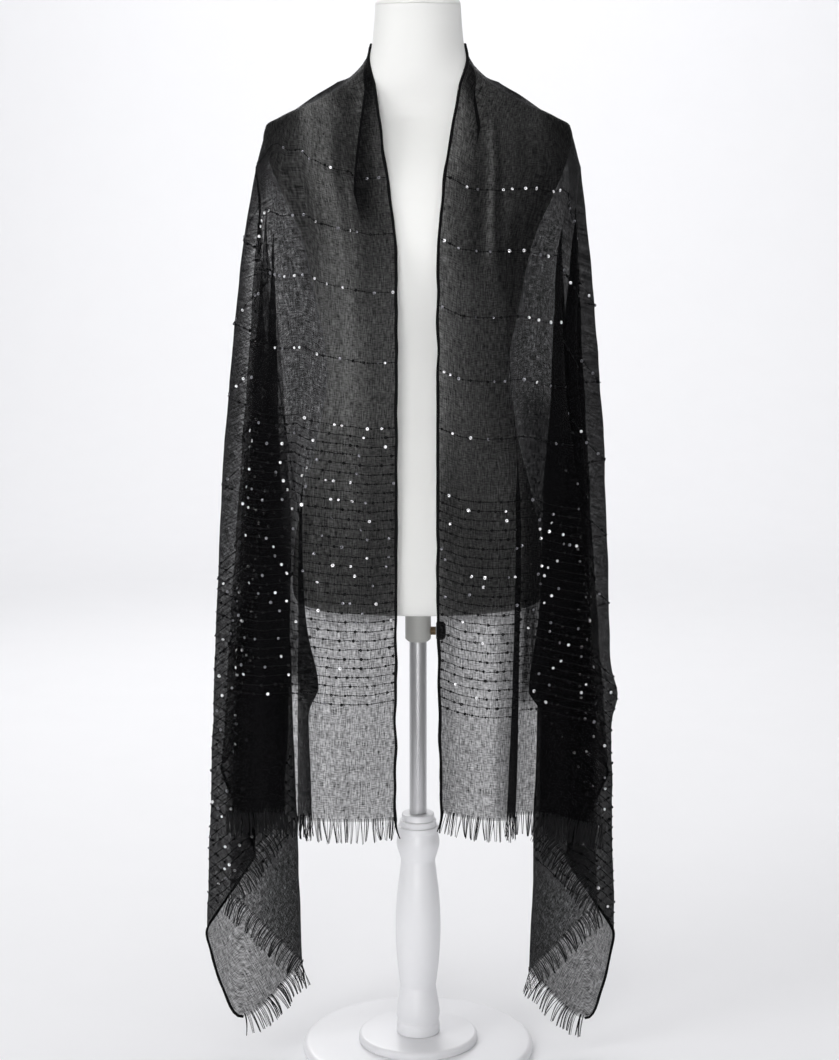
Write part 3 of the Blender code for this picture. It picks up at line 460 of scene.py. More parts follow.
# ------------------------------------------------------------------------------ the stole's cloth
# One straight length of sheer black voile, 0.70 m wide. It goes round the back of the neck and over
# both shoulders; each end hangs down the front and its outer part drops in folds at the side.
HALF_LENGTH = 1.04              # from the centre back to the hem, without the fringe
CLOTH_WALL = 1.2 * MM           # of the solid that this sheet is the middle of
CLOTH_TO_FORM = 0.70 * MM
CLOTH_OFF_FORM = 3.0 * MM
NECK_EDGE = 0.0560
SHOULDER_TIP = 0.1830
NECK_BACK_DROP = 0.010
ARM_LEVEL = 1.130
CHEST_LEVEL = 1.020
HIP_LEVEL = 0.700
ARM_HALF_WIDTH = 0.1975
ARM_FRONT = 0.098
ARM_BACK = 0.104
UPPER_STEPS = 26                # rows from the shoulder ridge to the arm
LOWER_STEPS = 104               # rows from the arm to the hem
ROW_CROWDING = 1.35             # above 1, the upper rows lie closer together near the ridge
TURNS_DOWN, TURNS_DOWN_AT_TIP = 1.6, 4.0    # how soon the cloth rounds the ridge, and more at its tip
FINE_PITCH = 3.2 * MM           # between columns where creases show, down the front panels
COLUMN_PITCH = 7.0 * MM         # and elsewhere
FOLD_SHARES = (0.0, 0.14, 0.29, 0.43, 0.57, 0.71, 0.86, 1.0)
FOLD_STARTS = 0.3
BEND_SHARE = 0.42
GAPE_SHARE = 0.25

# One row is one line down the cloth. x is measured outwards; ridge runs from 0 at the neck to 1 at the
# shoulder tip, neck is the turn round the back of the neck and sweep the turn round the shoulder, both
# in degrees. bend is the length that turns over at a fold and gape how far its layers stand apart. In
# the flat cloth, flat_top and flat_end are how far the line's two ends lie from the centre back, and
# flat_out how far its lower end lies from the inner edge.
Line = namedtuple("Line", "name ridge sweep chest_x chest_y hip_x hip_y end_x end_y end_z bend gape "
                          "flat_top flat_end flat_out neck", defaults=(0,))
LEFT = [Line(*row) for row in (
    ("front_edge", 0.00, -79, .0255, -.126, .0262, -.132, .0280, -.136, .348, 0, 0, .095, 1.04, 0),
    ("front_inner", 0.17, -70, .0530, -.127, .0560, -.136, .0600, -.141, .347, 0, 0, .122, 1.04, .032),
    ("front_middle", 0.35, -60, .0810, -.119, .0900, -.129, .1000, -.135, .345, 0, 0, .145, 1.04, .072),
    ("pleat_lead", 0.50, -52.5, .1070, -.106, .1445, -.116, .1495, -.121, .344, .008, .005, .166, 1.04, .121),
    ("pleat_back", 0.56, -49.5, .1150, -.100, .1385, -.106, .1275, -.110, .344, .008, .005, .173, 1.04, .141),
    ("pleat_rest", 0.64, -45, .1290, -.093, .1540, -.097, .1640, -.100, .342, 0, 0, .190, 1.04, .166),
    ("front_outer", 0.68, -36, .1600, -.074, .1820, -.087, .2050, -.084, .337, 0, 0, .197, 1.04, .206),
    ("front_fold", 0.76, -27, .1890, -.046, .2160, -.067, .2450, -.061, .332, .020, .008, .217, 1.04, .249),
    ("inner_fold_1", 0.81, -19.5, .1760, -.037, .1510, -.062, .1630, -.062, .341, .020, .008, .222, 1.04, .315),
    ("outer_fold_1", 0.86, -12.5, .1980, -.023, .2220, -.043, .2420, -.043, .224, .020, .008, .212, 1.04, .454),
    ("inner_fold_2", 0.91, -6, .1850, -.008, .1610, -.031, .1440, -.034, .125, .020, .008, .185, 1.04, .599),
    ("corner", 0.95, -3, .2060, -.008, .2120, -.016, .2256, -.018, .048, 0, 0, .180, 1.04, .70),
    ("edge_bow", 0.975, -1.5, .2118, -.004, .2310, -.008, .2530, -.011, .086, 0, 0, .175, .988, .70),
    ("side_turn", 1.00, 0, .2175, .000, .2490, .000, .2745, .000, .158, .018, .008, .168, .918, .70),
    ("back_fold_1", 0.93, 7.5, .1920, .016, .1780, .022, .2090, .020, .254, .018, .008, .160, .80, .70),
    ("back_fold_2", 0.87, 15, .2040, .032, .2320, .042, .2560, .044, .366, .018, .008, .175, .66, .70),
    ("back_fold_3", 0.81, 23, .1780, .046, .1720, .062, .1660, .064, .458, .018, .008, .185, .54, .70),
    ("back_fold_4", 0.75, 32, .1840, .066, .2060, .084, .2180, .086, .548, .018, .008, .175, .40, .70),
    ("back_outer", 0.64, 44, .1520, .088, .1560, .108, .1540, .110, .612, 0, 0, .155, .29, .70),
    ("back_wave_out", 0.40, 58, .1120, .100, .1180, .128, .1200, .132, .602, 0, 0, .130, .21, .70),
    ("back_wave_in", 0.00, 69, .0740, .107, .0760, .122, .0780, .124, .588, 0, 0, .095, .14, .70),
    ("back_inner", 0.00, 79, .0380, .110, .0380, .132, .0390, .136, .574, 0, 0, .048, .07, .70, 45),
    ("back_centre", 0.00, 90, .0000, .111, .0000, .123, .0000, .125, .566, 0, 0, .000, .00, .70, 90),
)]
RIGHT = [Line(*row) for row in (
    ("front_edge", 0.00, -80.5, .0235, -.126, .0235, -.132, .0285, -.136, .357, 0, 0, .095, 1.04, 0),
    ("front_inner", 0.17, -71.5, .0500, -.127, .0530, -.136, .0570, -.141, .352, 0, 0, .107, 1.04, .030),
    ("front_middle", 0.35, -62, .0760, -.120, .0820, -.131, .0880, -.137, .347, 0, 0, .120, 1.04, .062),
    ("pleat_lead", 0.50, -54, .1040, -.108, .1255, -.119, .1215, -.127, .345, .008, .005, .134, 1.04, .103),
    ("pleat_back", 0.56, -50.5, .1080, -.101, .1165, -.109, .1080, -.114, .347, .008, .005, .138, 1.04, .126),
    ("pleat_rest", 0.64, -45.5, .1230, -.093, .1360, -.102, .1480, -.105, .345, 0, 0, .146, 1.04, .166),
    ("front_outer", 0.68, -37, .1500, -.073, .1700, -.088, .1920, -.088, .330, 0, 0, .151, 1.04, .212),
    ("front_fold", 0.76, -28.5, .1735, -.046, .2030, -.067, .2350, -.061, .313, .020, .008, .166, 1.04, .262),
    ("inner_fold_1", 0.81, -20, .1700, -.034, .1480, -.062, .1470, -.062, .328, .020, .008, .168, 1.04, .335),
    ("outer_fold_1", 0.86, -12.5, .1930, -.023, .2130, -.043, .2300, -.043, .208, .020, .008, .150, 1.04, .470),
    ("inner_fold_2", 0.91, -6, .1850, -.009, .1520, -.033, .1385, -.034, .114, .020, .008, .120, 1.04, .605),
    ("corner", 0.95, -3, .2020, -.006, .2050, -.016, .2151, -.018, .046, 0, 0, .115, 1.04, .70),
    ("edge_bow", 0.975, -1.5, .2070, -.003, .2205, -.008, .2365, -.011, .082, 0, 0, .110, .992, .70),
    ("side_turn", 1.00, 0, .2120, .000, .2380, .000, .2545, .000, .156, .018, .008, .105, .918, .70),
    ("back_fold_1", 0.93, 7.5, .1900, .016, .1740, .022, .1900, .020, .250, .018, .008, .115, .80, .70),
    ("back_fold_2", 0.87, 15, .2000, .032, .2220, .042, .2480, .044, .360, .018, .008, .150, .66, .70),
    ("back_fold_3", 0.81, 23, .1760, .046, .1720, .062, .1640, .064, .452, .018, .008, .175, .54, .70),
    ("back_fold_4", 0.75, 32, .1820, .066, .2020, .084, .2120, .086, .540, .018, .008, .175, .40, .70),
    ("back_outer", 0.64, 44, .1500, .088, .1520, .108, .1500, .110, .606, 0, 0, .155, .29, .70),
    ("back_wave_out", 0.40, 58, .1080, .101, .1120, .129, .1140, .133, .598, 0, 0, .130, .21, .70),
    ("back_wave_in", 0.00, 69, .0720, .107, .0740, .122, .0750, .124, .586, 0, 0, .095, .14, .70),
    ("back_inner", 0.00, 79, .0370, .110, .0370, .131, .0380, .135, .573, 0, 0, .048, .07, .70, 45),
)]
# How much extra cover each line gets, counted as yarn in the same width: 0 is flat cloth, 1 twice
# as much, and less than 0 is cloth drawn open. Partly it is cloth drawn together, partly painted shade
# of the form seen through the cloth at the hips and above its rim, and painted light where below 0.
# Five amounts for each line: on the shoulder, at the chest, at the hips, above the form's rim and below
# it. The chest's amount holds between two levels.
DrawnAndShaded = namedtuple("DrawnAndShaded", "name left right")
DRAWN_AND_SHADED_LEVELS = (1.14, 1.02, 0.85, 0.72, 0.606, 0.588)
AMOUNT_AT_LEVEL = (0, 1, 1, 2, 3, 4)
DRAWN_AND_SHADED = (
    DrawnAndShaded("front_edge", (.72, .90, 1.25, .94, .18), (.40, .50, 1.50, .94, .72)),
    DrawnAndShaded("front_inner", (.55, .76, .88, 1.04, .13), (.62, .58, 1.0, 1.07, .15)),
    DrawnAndShaded("front_middle", (.45, .04, .38, .68, -.04), (.76, .72, .82, .90, .06)),
    DrawnAndShaded("pleat_lead", (.04, .06, .46, .14, .08), (.85, .66, .30, .40, 1.2)),
    DrawnAndShaded("pleat_back", (.02, .14, .50, .36, .60), (.85, .66, .16, .38, .60)),
    DrawnAndShaded("pleat_rest", (.15, .50, 1.10, .76, -.40), (.80, 1.05, .72, .92, .20)),
    DrawnAndShaded("front_outer", (.50, .44, .15, .86, 1.1), (.85, 1.10, .44, .90, .00)),
    DrawnAndShaded("front_fold", (1.0, -.20, -.50, -.60, -.75), (1.3, .9, -.45, -.40, -.85)),
    DrawnAndShaded("inner_fold_1", (1.2, -.75, -.45, .20, .75), (1.5, 1.0, .20, .60, .85)),
    DrawnAndShaded("outer_fold_1", (1.2, -.75, -.50, -.50, -.55), (1.5, .90, .00, -.20, -.50)),
    DrawnAndShaded("inner_fold_2", (1.2, -.75, -.45, .30, .85), (1.5, 1.0, .10, .50, .85)),
    DrawnAndShaded("corner", (1.2, -.10, -.30, -.55, .28), (1.3, 1.0, .35, .10, .52)),
    DrawnAndShaded("edge_bow", (1.0, .60, .40, .10, .42), (1.0, 1.0, .70, .50, .55)),
    DrawnAndShaded("side_turn", (1.0, 1.0, .75, .55, .60), (1.0, 1.0, .95, .90, .85)),
    DrawnAndShaded("back_fold_1", (1.2, -.20, -.10, .20, .60), (1.2, .60, .60, .70, .70)),
    DrawnAndShaded("back_fold_2", (1.2, -.20, -.30, -.40, -.40), (1.2, .50, .10, .00, -.20)),
    DrawnAndShaded("back_fold_3", (.30, .25, .30, .30, .30), (.30, .25, .30, .30, .30)),
    DrawnAndShaded("back_fold_4", (.20, .15, .20, .20, .20), (.20, .15, .20, .20, .20)),
    DrawnAndShaded("back_outer", (.10, .10, .10, .10, .10), (.10, .10, .10, .10, .10)),
    DrawnAndShaded("back_wave_out", (.10, .10, .05, .05, .05), (.10, .10, .05, .05, .05)),
    DrawnAndShaded("back_wave_in", (.10, .10, .00, .00, .00), (.10, .10, .00, .00, .00)),
    DrawnAndShaded("back_inner", (.10, .10, .00, .00, .00), (.10, .10, .00, .00, .00)),
    DrawnAndShaded("back_centre", (.10, .10, .00, .00, .00), (.10, .10, .00, .00, .00)),
)
# Below the form a fold's edge stands further in for a short way, as a small flap.
Flap = namedtuple("Flap", "side line level above below inwards")
FLAPS = (
    Flap(-1, "pleat_back", 0.507, 0.060, 0.020, 0.014), Flap(1, "inner_fold_1", 0.492, 0.070, 0.014, 0.014),
)
FLAT_TOP_OUT = 0.165            # how far the shoulder tip lies from the inner edge in the flat cloth


def ridge_height(x):
    """Height of the shoulder ridge where the form is x wide from its middle."""
    low, high = RIDGE_LOW, RIDGE_HIGH
    for _ in range(30):
        middle = (low + high) / 2
        low, high = (middle, high) if form_size(middle, "half_width") > x else (low, middle)
    return low


def on_ridge(x, side):
    """A point of the cloth on the shoulder ridge, and the ridge's normal there."""
    run = 2 * MM
    normal = Vector((side * (ridge_height(x - run) - ridge_height(x + run)), 0, 2 * run)).normalized()
    return Vector((side * x, 0, ridge_height(x))) + normal * (CLOTH_TO_FORM + CLOTH_WALL / 2)


def line_down(line, side):
    """A line's points, one for each row, from the ridge or the neck to its end."""
    if line.neck:
        turn = math.radians(line.neck)
        height = ridge_height(NECK_EDGE) - NECK_BACK_DROP * math.sin(turn)
        reach = CLOTH_OFF_FORM + CLOTH_WALL
        top = Vector((side * (form_size(height, "half_width") + reach) * math.cos(turn),
                      (form_size(height, "back") + reach) * math.sin(turn), height))
    else:
        top = on_ridge(NECK_EDGE + (SHOULDER_TIP - NECK_EDGE) * line.ridge, side)
    turn = math.radians(line.sweep)
    deep = ARM_FRONT if line.sweep < 0 else ARM_BACK
    arm = Vector((side * ARM_HALF_WIDTH * math.cos(turn), deep * math.sin(turn), ARM_LEVEL))
    points = []
    steepness = TURNS_DOWN + TURNS_DOWN_AT_TIP * line.ridge**3
    for step in range(UPPER_STEPS):
        share = (step / UPPER_STEPS) ** ROW_CROWDING
        over = 1 - (1 - share) ** steepness
        points.append(Vector((top.x + (arm.x - top.x) * share, top.y + (arm.y - top.y) * over,
                              top.z + (arm.z - top.z) * share)))
    levels = [ARM_LEVEL, CHEST_LEVEL, HIP_LEVEL, line.end_z]
    across = [arm.x, side * line.chest_x, side * line.hip_x, side * line.end_x]
    deep = [arm.y, line.chest_y, line.hip_y, line.end_y]
    for step in range(LOWER_STEPS + 1):
        z = ARM_LEVEL + (line.end_z - ARM_LEVEL) * step / LOWER_STEPS
        points.append(Vector((smooth(levels, across, z), smooth(levels, deep, z), z)))
    for flap in FLAPS:
        if (flap.side, flap.line) == (side, line.name):
            for point in points:
                reach = flap.above if point.z > flap.level else flap.below
                point.x -= side * flap.inwards * math.exp(-((point.z - flap.level) / reach) ** 2)
    return points


def eased_share(x):
    """From 0 to 1 with a soft start and end."""
    x = np.clip(x, 0, 1)
    return x * x * (3 - 2 * x)


def turn_back(before, point, after):
    """How far the cloth turns back on itself in plan: 0 where it runs on, 1 in a full fold."""
    way_in = (point - before).xy.normalized()
    way_out = (after - point).xy.normalized()
    return min(max((FOLD_STARTS - way_in.dot(way_out)) / (1 + FOLD_STARTS), 0), 1)


def across_row(lines, points, counts, centre):
    """Points across one row: panels between the lines, turned over at the folds."""
    last = len(lines) - 1
    arrive, leave, bends = list(points), list(points), [None] * len(lines)
    for j, line in enumerate(lines):
        if line.bend:
            before, point, after = points[j - 1:j + 2]
            shorter = min((before - point).length, (after - point).length)
            reach = min(line.bend, BEND_SHARE * shorter)
            half_gape = min(line.gape / 2 * turn_back(before, point, after), GAPE_SHARE * shorter)
            apart = Vector((0, half_gape if j < centre else -half_gape, 0))
            first, second = point - apart, point + apart
            arrive[j] = first + (before - first).normalized() * reach
            leave[j] = second + (after - second).normalized() * reach
            bends[j] = (arrive[j], first, second, leave[j])
    columns, own = [], []
    for j in range(len(lines)):
        if bends[j]:
            a, b, c, d = bends[j]
            own.append(len(columns) + len(FOLD_SHARES) // 2)
            columns += [a * (1 - u) ** 3 + b * 3 * (1 - u) ** 2 * u + c * 3 * (1 - u) * u**2 + d * u**3
                        for u in FOLD_SHARES]
        else:
            own.append(len(columns))
            columns.append(points[j])
        if j == last:
            break
        span = arrive[j + 1] - leave[j]
        ways = []
        for k in (j, j + 1):
            runs_on = not bends[k] and 0 < k < last
            way = (arrive[k + 1] - leave[k - 1]) if runs_on else span
            ways.append(way.normalized() * span.length)
        columns += [hermite(leave[j], arrive[j + 1], *ways, i / (counts[j] + 1))
                    for i in range(1, counts[j] + 1)]
    return columns, own


lines = LEFT + RIGHT[::-1]
centre = len(LEFT) - 1
sides = [-1] * len(LEFT) + [1] * len(RIGHT)
downs = [line_down(line, side) for line, side in zip(lines, sides)]
names = [line.name for line in LEFT]
panel_lines = names[:names.index("front_fold") + 1]
counts = []
for j, (a, b) in enumerate(zip(downs, downs[1:])):
    widest = max((p - q).length for p, q in zip(a, b))
    fine = lines[j].name in panel_lines and lines[j + 1].name in panel_lines
    counts.append(max(int(widest / (FINE_PITCH if fine else COLUMN_PITCH)) - 1, 1))
rows = []
for i in range(UPPER_STEPS + LOWER_STEPS + 1):
    columns, own = across_row(lines, [down[i] for down in downs], counts, centre)
    rows.append(columns)
place = np.array([[tuple(point) for point in row] for row in rows])
height, width = place.shape[:2]
own = np.array(own)
side_of = np.where(np.arange(width) < own[centre], -1.0, 1.0)

# The first row of the fronts lies on the ridge itself, evenly spaced between the lines.
# The rows beyond it follow the ridge's hollow a little less each.
RIDGE_FOLLOWED, RIDGE_ROWS = 0.75, 12
neck = [own[j] for j, line in enumerate(lines) if line.ridge == 0 and line.sweep > 0]
ridge_of = np.interp(np.arange(width), own, [line.ridge for line in lines])
follow = RIDGE_FOLLOWED * (1 - eased_share(np.arange(height) / RIDGE_ROWS))[:, None]
for j in range(width):
    if not neck[0] < j < neck[-1]:
        spot = np.array(on_ridge(NECK_EDGE + (SHOULDER_TIP - NECK_EDGE) * ridge_of[j], side_of[j]))
        place[1:, j] += follow[1:] * (spot - place[0, j])
        place[0, j] = spot

# Each point's place in the flat cloth: flat_s along it from the centre back, flat_t across it from
# the inner edge, both shared out by length down the lines and across the panels.
flat_s, flat_t = np.zeros((height, width)), np.zeros((height, width))
steps_down, steps_across = (np.linalg.norm(np.diff(place, axis=way), axis=2) for way in (0, 1))
run_down = np.vstack([np.zeros(width), np.cumsum(steps_down, axis=0)])
run_across = np.hstack([np.zeros((height, 1)), np.cumsum(steps_across, axis=1)])
for j, line in enumerate(lines):
    share = run_down[:, own[j]] / run_down[-1, own[j]]
    flat_s[:, own[j]] = line.flat_top + (line.flat_end - line.flat_top) * share
    top_out = FLAT_TOP_OUT * line.ridge
    flat_t[:, own[j]] = top_out + (line.flat_out - top_out) * share
for i in range(height):
    at_lines = run_across[i, own] + 1e-9 * np.arange(len(own))
    for flat_place in (flat_s, flat_t):
        flat_place[i] = np.interp(run_across[i], at_lines, flat_place[i, own])


def outward_normals(grid):
    """Unit normals of a grid of points, away from the form."""
    down = np.gradient(grid, axis=0)
    over = np.gradient(grid, axis=1)
    over[0] = np.where(np.linalg.norm(over[0], axis=1, keepdims=True) < 0.2 * MM, over[1], over[0])
    normal = np.cross(over, down)
    return normal / np.maximum(np.linalg.norm(normal, axis=2, keepdims=True), 1e-12)


def keep_off_form(grid, gap):
    """Move the points that are nearer to the form than the gap straight out from it."""
    def excess(p):
        wide = form_size(p[..., 2], "half_width")
        deep = np.where(p[..., 1] < 0, form_size(p[..., 2], "front"), form_size(p[..., 2], "back"))
        power = FORM_SQUARENESS
        return ((np.abs(p[..., 0]) / wide) ** power + (np.abs(p[..., 1]) / deep) ** power) ** (1 / power) - 1

    grid = grid.copy()
    near = grid[..., 2] > FORM[0].height
    step = 0.5 * MM
    for _ in range(4):
        here = excess(grid)
        rise = np.stack([(excess(grid + np.eye(3)[k] * step) - here) / step for k in range(3)], axis=-1)
        steep = np.maximum(np.linalg.norm(rise, axis=-1), 1e-9)
        short = np.where(near, np.maximum(gap - here / steep, 0), 0)
        grid += rise / steep[..., None] * short[..., None]
    return grid


# The main creases, each a long soft ridge (high above 0) or trough (below 0) in the flat cloth. It
# runs from (top_s, top_t) to (low_s, low_t), is as wide as said, and fades over its ends. A crease
# with over is a tuck: the cloth is also pushed over itself by about so many mm. The last column is
# the painted shade along it, laid on as extra cover; below 0 it is painted light.
Crease = namedtuple("Crease", "side top_s top_t low_s low_t wide high over more", defaults=(0,))
CREASES = [Crease(*row) for row in (
    # the collar's tuck beside the neck, with painted shade in its valley, and soft rolls and streaks beside it,
    # with painted shade and light
    (-1, 0.135, 0.008, 0.295, 0.040, 0.0065, -3.0, 11, 2.2), (-1, 0.15, 0.002, 0.26, 0.010, 0.008, 2.5, 0),
    (-1, 0.32, 0.042, 0.42, 0.044, 0.0080, -1.5, 0, 0.25), (-1, 0.25, 0.048, 0.36, 0.051, 0.0035, 1.5, 0, -0.3),
    (-1, 0.24, 0.057, 0.38, 0.063, 0.0035, -1.5, 0, 0.3), (-1, 0.21, 0.084, 0.34, 0.096, 0.005, 2.5, 0),
    (-1, 0.17, 0.040, 0.25, 0.045, 0.0100, -1.5, 0, 0.4), (-1, 0.24, 0.110, 0.40, 0.118, 0.006, -2.0, 0, 0.1),
    (1, 0.125, 0.012, 0.198, 0.032, 0.0055, -3.0, 10, 1.2), (1, 0.15, 0.003, 0.26, 0.012, 0.008, 2.5, 0),
    (1, 0.205, 0.032, 0.340, 0.046, 0.0070, -2.0, 0, 0.4), (1, 0.215, 0.048, 0.34, 0.064, 0.007, 2.5, 0, -0.8),
    (1, 0.210, 0.053, 0.380, 0.084, 0.0040, -2.5, 0, 0.3), (1, 0.22, 0.092, 0.40, 0.104, 0.005, -2.0, 0),
    # long falls of the front panels
    (-1, 0.30, 0.045, 0.98, 0.030, 0.012, 2.0, 0), (-1, 0.34, 0.085, 1.00, 0.066, 0.008, 2.6, 0),
    (-1, 0.30, 0.105, 1.00, 0.098, 0.006, -2.6, 0), (-1, 0.26, 0.165, 1.00, 0.185, 0.009, 3.0, 0),
    (-1, 0.24, 0.125, 0.70, 0.130, 0.006, 2.6, 0), (-1, 0.30, 0.185, 1.00, 0.222, 0.008, -3.0, 0),
    (1, 0.32, 0.040, 1.00, 0.020, 0.011, 2.0, 0), (1, 0.34, 0.100, 1.00, 0.080, 0.007, -2.6, 0),
    (1, 0.28, 0.130, 1.00, 0.148, 0.008, 3.0, 0), (1, 0.24, 0.115, 0.60, 0.110, 0.006, 2.6, 0),
    (1, 0.26, 0.175, 1.00, 0.190, 0.008, -3.0, 0), (1, 0.30, 0.210, 1.00, 0.238, 0.010, 3.0, 0),
    # between the front pleat and the side folds, down to below the form: painted shade, in three bands that
    # leave the cloth's shape as it is and two shallow troughs
    (-1, 0.62, 0.150, 0.855, 0.152, 0.016, 0, 0, 0.8), (1, 0.55, 0.146, 0.866, 0.148, 0.018, 0, 0, 1.4),
    (-1, 0.815, 0.148, 0.852, 0.149, 0.012, 0, 0, 2.0), (1, 0.800, 0.139, 0.862, 0.140, 0.0035, -2.0, 0, 1.4),
    (1, 0.815, 0.149, 0.855, 0.150, 0.0030, -2.0, 0, 1.6),
)]
# round the back of the neck, one set for each half
BACK_CREASES = [Crease(*row) for row in (
    (-1, 0.00, 0.030, 0.10, 0.014, 0.008, 2.5, 0, 0.3), (-1, 0.00, 0.062, 0.13, 0.036, 0.010, -2.5, 0, 0.2),
    (-1, 0.03, 0.110, 0.19, 0.052, 0.011, 3.0, 0, 0.2), (-1, 0.09, 0.200, 0.24, 0.092, 0.013, -3.0, 0, 0.2),
    (1, 0.00, 0.030, 0.11, 0.012, 0.008, 2.5, 0, 0.3), (1, 0.01, 0.070, 0.14, 0.042, 0.010, -2.5, 0, 0.2),
    (1, 0.05, 0.130, 0.18, 0.066, 0.011, 3.0, 0, 0.2), (1, 0.07, 0.240, 0.22, 0.112, 0.013, -3.0, 0, 0.2),
)]
# Soft falls down the back: where each starts and ends across the form, how wide and how high in mm,
# and the painted shade along it, laid on as extra cover.
Fall = namedtuple("Fall", "top_x low_x top_z low_z wide high more")
FALLS = (
    Fall(-0.020, -0.026, 1.16, 0.58, 0.009, 3.0, 0.25), Fall(-0.052, -0.068, 1.22, 0.59, 0.011, -3.0, 0.2),
    Fall(-0.082, -0.106, 1.12, 0.60, 0.010, 3.5, 0.3), Fall(-0.112, -0.136, 1.20, 0.62, 0.012, -3.5, 0.25),
    Fall(0.016, 0.022, 1.10, 0.58, 0.010, -3.0, 0.2), Fall(0.044, 0.060, 1.20, 0.59, 0.009, 3.0, 0.25),
    Fall(0.074, 0.094, 1.14, 0.60, 0.012, -3.5, 0.25), Fall(0.106, 0.130, 1.21, 0.62, 0.010, 3.5, 0.3),
)
CREASE_FADE = 0.05
EDGE_HOLDS = 0.008              # the rolled edge keeps its place where a tuck runs close to it
TUCK_LIFTS = 1.4                # how much wider a tuck lifts the cloth than it pushes it
TUCK_SHADE = (2.2, 0.4)         # how far its painted shade reaches on its two sides
FALL_FADE, FALL_RUNS_ON = 0.12, 1.1     # shares of a fall's length
BEHIND = 0.03
CREASE_ROWS = 7                 # below the ridge, over which the creases begin
STEEP_SHADE_SHARE, STEEP_SHADE_MOST = 0.8, 0.8      # how far the steep side of a crease is darkened as painted shade, and at most


def creased(creases, s, t, side):
    """How far the cloth stands above its plain form, how far it is pushed along its width, how
    steeply it stands and how much painted shade lies there, as extra cover."""
    lift, push, steep, more = (np.zeros_like(s) for _ in range(4))
    for crease in creases:
        u = (s - crease.top_s) / (crease.low_s - crease.top_s)
        middle = crease.top_t + (crease.low_t - crease.top_t) * np.clip(u, 0, 1)
        beyond = np.maximum(crease.top_s - s, s - crease.low_s)
        fade = eased_share(1 - beyond / CREASE_FADE) * (side == crease.side)
        u = (t - middle) / crease.wide
        bell = np.exp(-u * u)
        if crease.over:
            hold = 1 - np.exp(-(t / EDGE_HOLDS) ** 2)
            push -= fade * hold * crease.over * MM * u * bell
            lift += fade * hold * crease.high * MM * 2 * u * np.exp(-(u / TUCK_LIFTS) ** 2)
            more += fade * crease.more * np.exp(-np.where(u < 0, u / TUCK_SHADE[0], u / TUCK_SHADE[1]) ** 2)
        else:
            lift += fade * bell * crease.high * MM
            steep += fade * bell * np.abs(2 * u) * abs(crease.high) * MM / crease.wide
            more += fade * crease.more * bell
    return lift, push, steep, more


normals = outward_normals(place)
side_grid = np.broadcast_to(side_of, (height, width))
fronts = np.zeros(width, bool)
turns = [own[j] for j, line in enumerate(lines) if line.name == "side_turn"]
fronts[:turns[0]] = fronts[turns[1]:] = True
lift, push, steep, more = (
    np.where(fronts, front, back) for front, back in zip(creased(CREASES, flat_s, flat_t, side_grid),
                                                         creased(BACK_CREASES, flat_s, flat_t, side_grid)))
for fall in FALLS:
    u = (fall.top_z - place[..., 2]) / (fall.top_z - fall.low_z)
    middle = fall.top_x + (fall.low_x - fall.top_x) * np.clip(u, 0, 1)
    fade = eased_share(np.minimum(u, FALL_RUNS_ON - u) / FALL_FADE) * (place[..., 1] > BEHIND) * ~fronts
    u = (place[..., 0] - middle) / fall.wide
    bell = fade * np.exp(-u * u)
    lift += bell * fall.high * MM
    steep += bell * np.abs(2 * u) * abs(fall.high) * MM / fall.wide
    more += bell * fall.more
from_ridge = eased_share(np.arange(height) / CREASE_ROWS)[:, None]
lift, push = lift * from_ridge, push * from_ridge
toward_outer = np.gradient(place, axis=1) * -side_grid[..., None]
toward_outer /= np.maximum(np.linalg.norm(toward_outer, axis=2, keepdims=True), 1e-9)

# Extra cover, which darkens the voile: extra yarn where the cloth is drawn together, and painted shade
# where it stands on edge in a crease, along the creases and falls, and over the form seen through it.
drawn_and_shaded = {row.name: row for row in DRAWN_AND_SHADED}
amounts = [drawn_and_shaded[line.name].left if side < 0 else drawn_and_shaded[line.name].right for line, side in zip(lines, sides)]
yarn_and_shade = STEEP_SHADE_SHARE * np.minimum(steep, STEEP_SHADE_MOST) + more
for level, k in enumerate(AMOUNT_AT_LEVEL):
    here = np.interp(-place[..., 2], -np.array(DRAWN_AND_SHADED_LEVELS), np.eye(len(DRAWN_AND_SHADED_LEVELS))[level])
    yarn_and_shade += here * np.interp(np.arange(width), own, [amount[k] for amount in amounts])

# Behind the shoulder ridge the cloth stands up in a low roll before it falls down the back.
ROLL_HIGH = 9.0 * MM
ROLL_STARTS, ROLL_FULL, ROLL_ENDS, ROLL_FADES = 0.080, 0.098, 0.160, 0.045     # across the form
ROLL_RISES, ROLL_DEEP = 1.5 * MM, 24 * MM       # from the ridge towards the back
ROLL_SHADE = 1.2                 # painted shade on it, laid on as extra cover
behind = np.linalg.norm(place - place[0], axis=2)
out = np.abs(place[..., 0])
roll = eased_share((out - ROLL_STARTS) / (ROLL_FULL - ROLL_STARTS))
roll = roll * eased_share((ROLL_ENDS - out) / ROLL_FADES)
roll = roll * (1 - np.exp(-behind / ROLL_RISES)) * np.exp(-(behind / ROLL_DEEP) ** 2) * ~fronts
place[..., 2] += ROLL_HIGH * roll
yarn_and_shade += ROLL_SHADE * roll

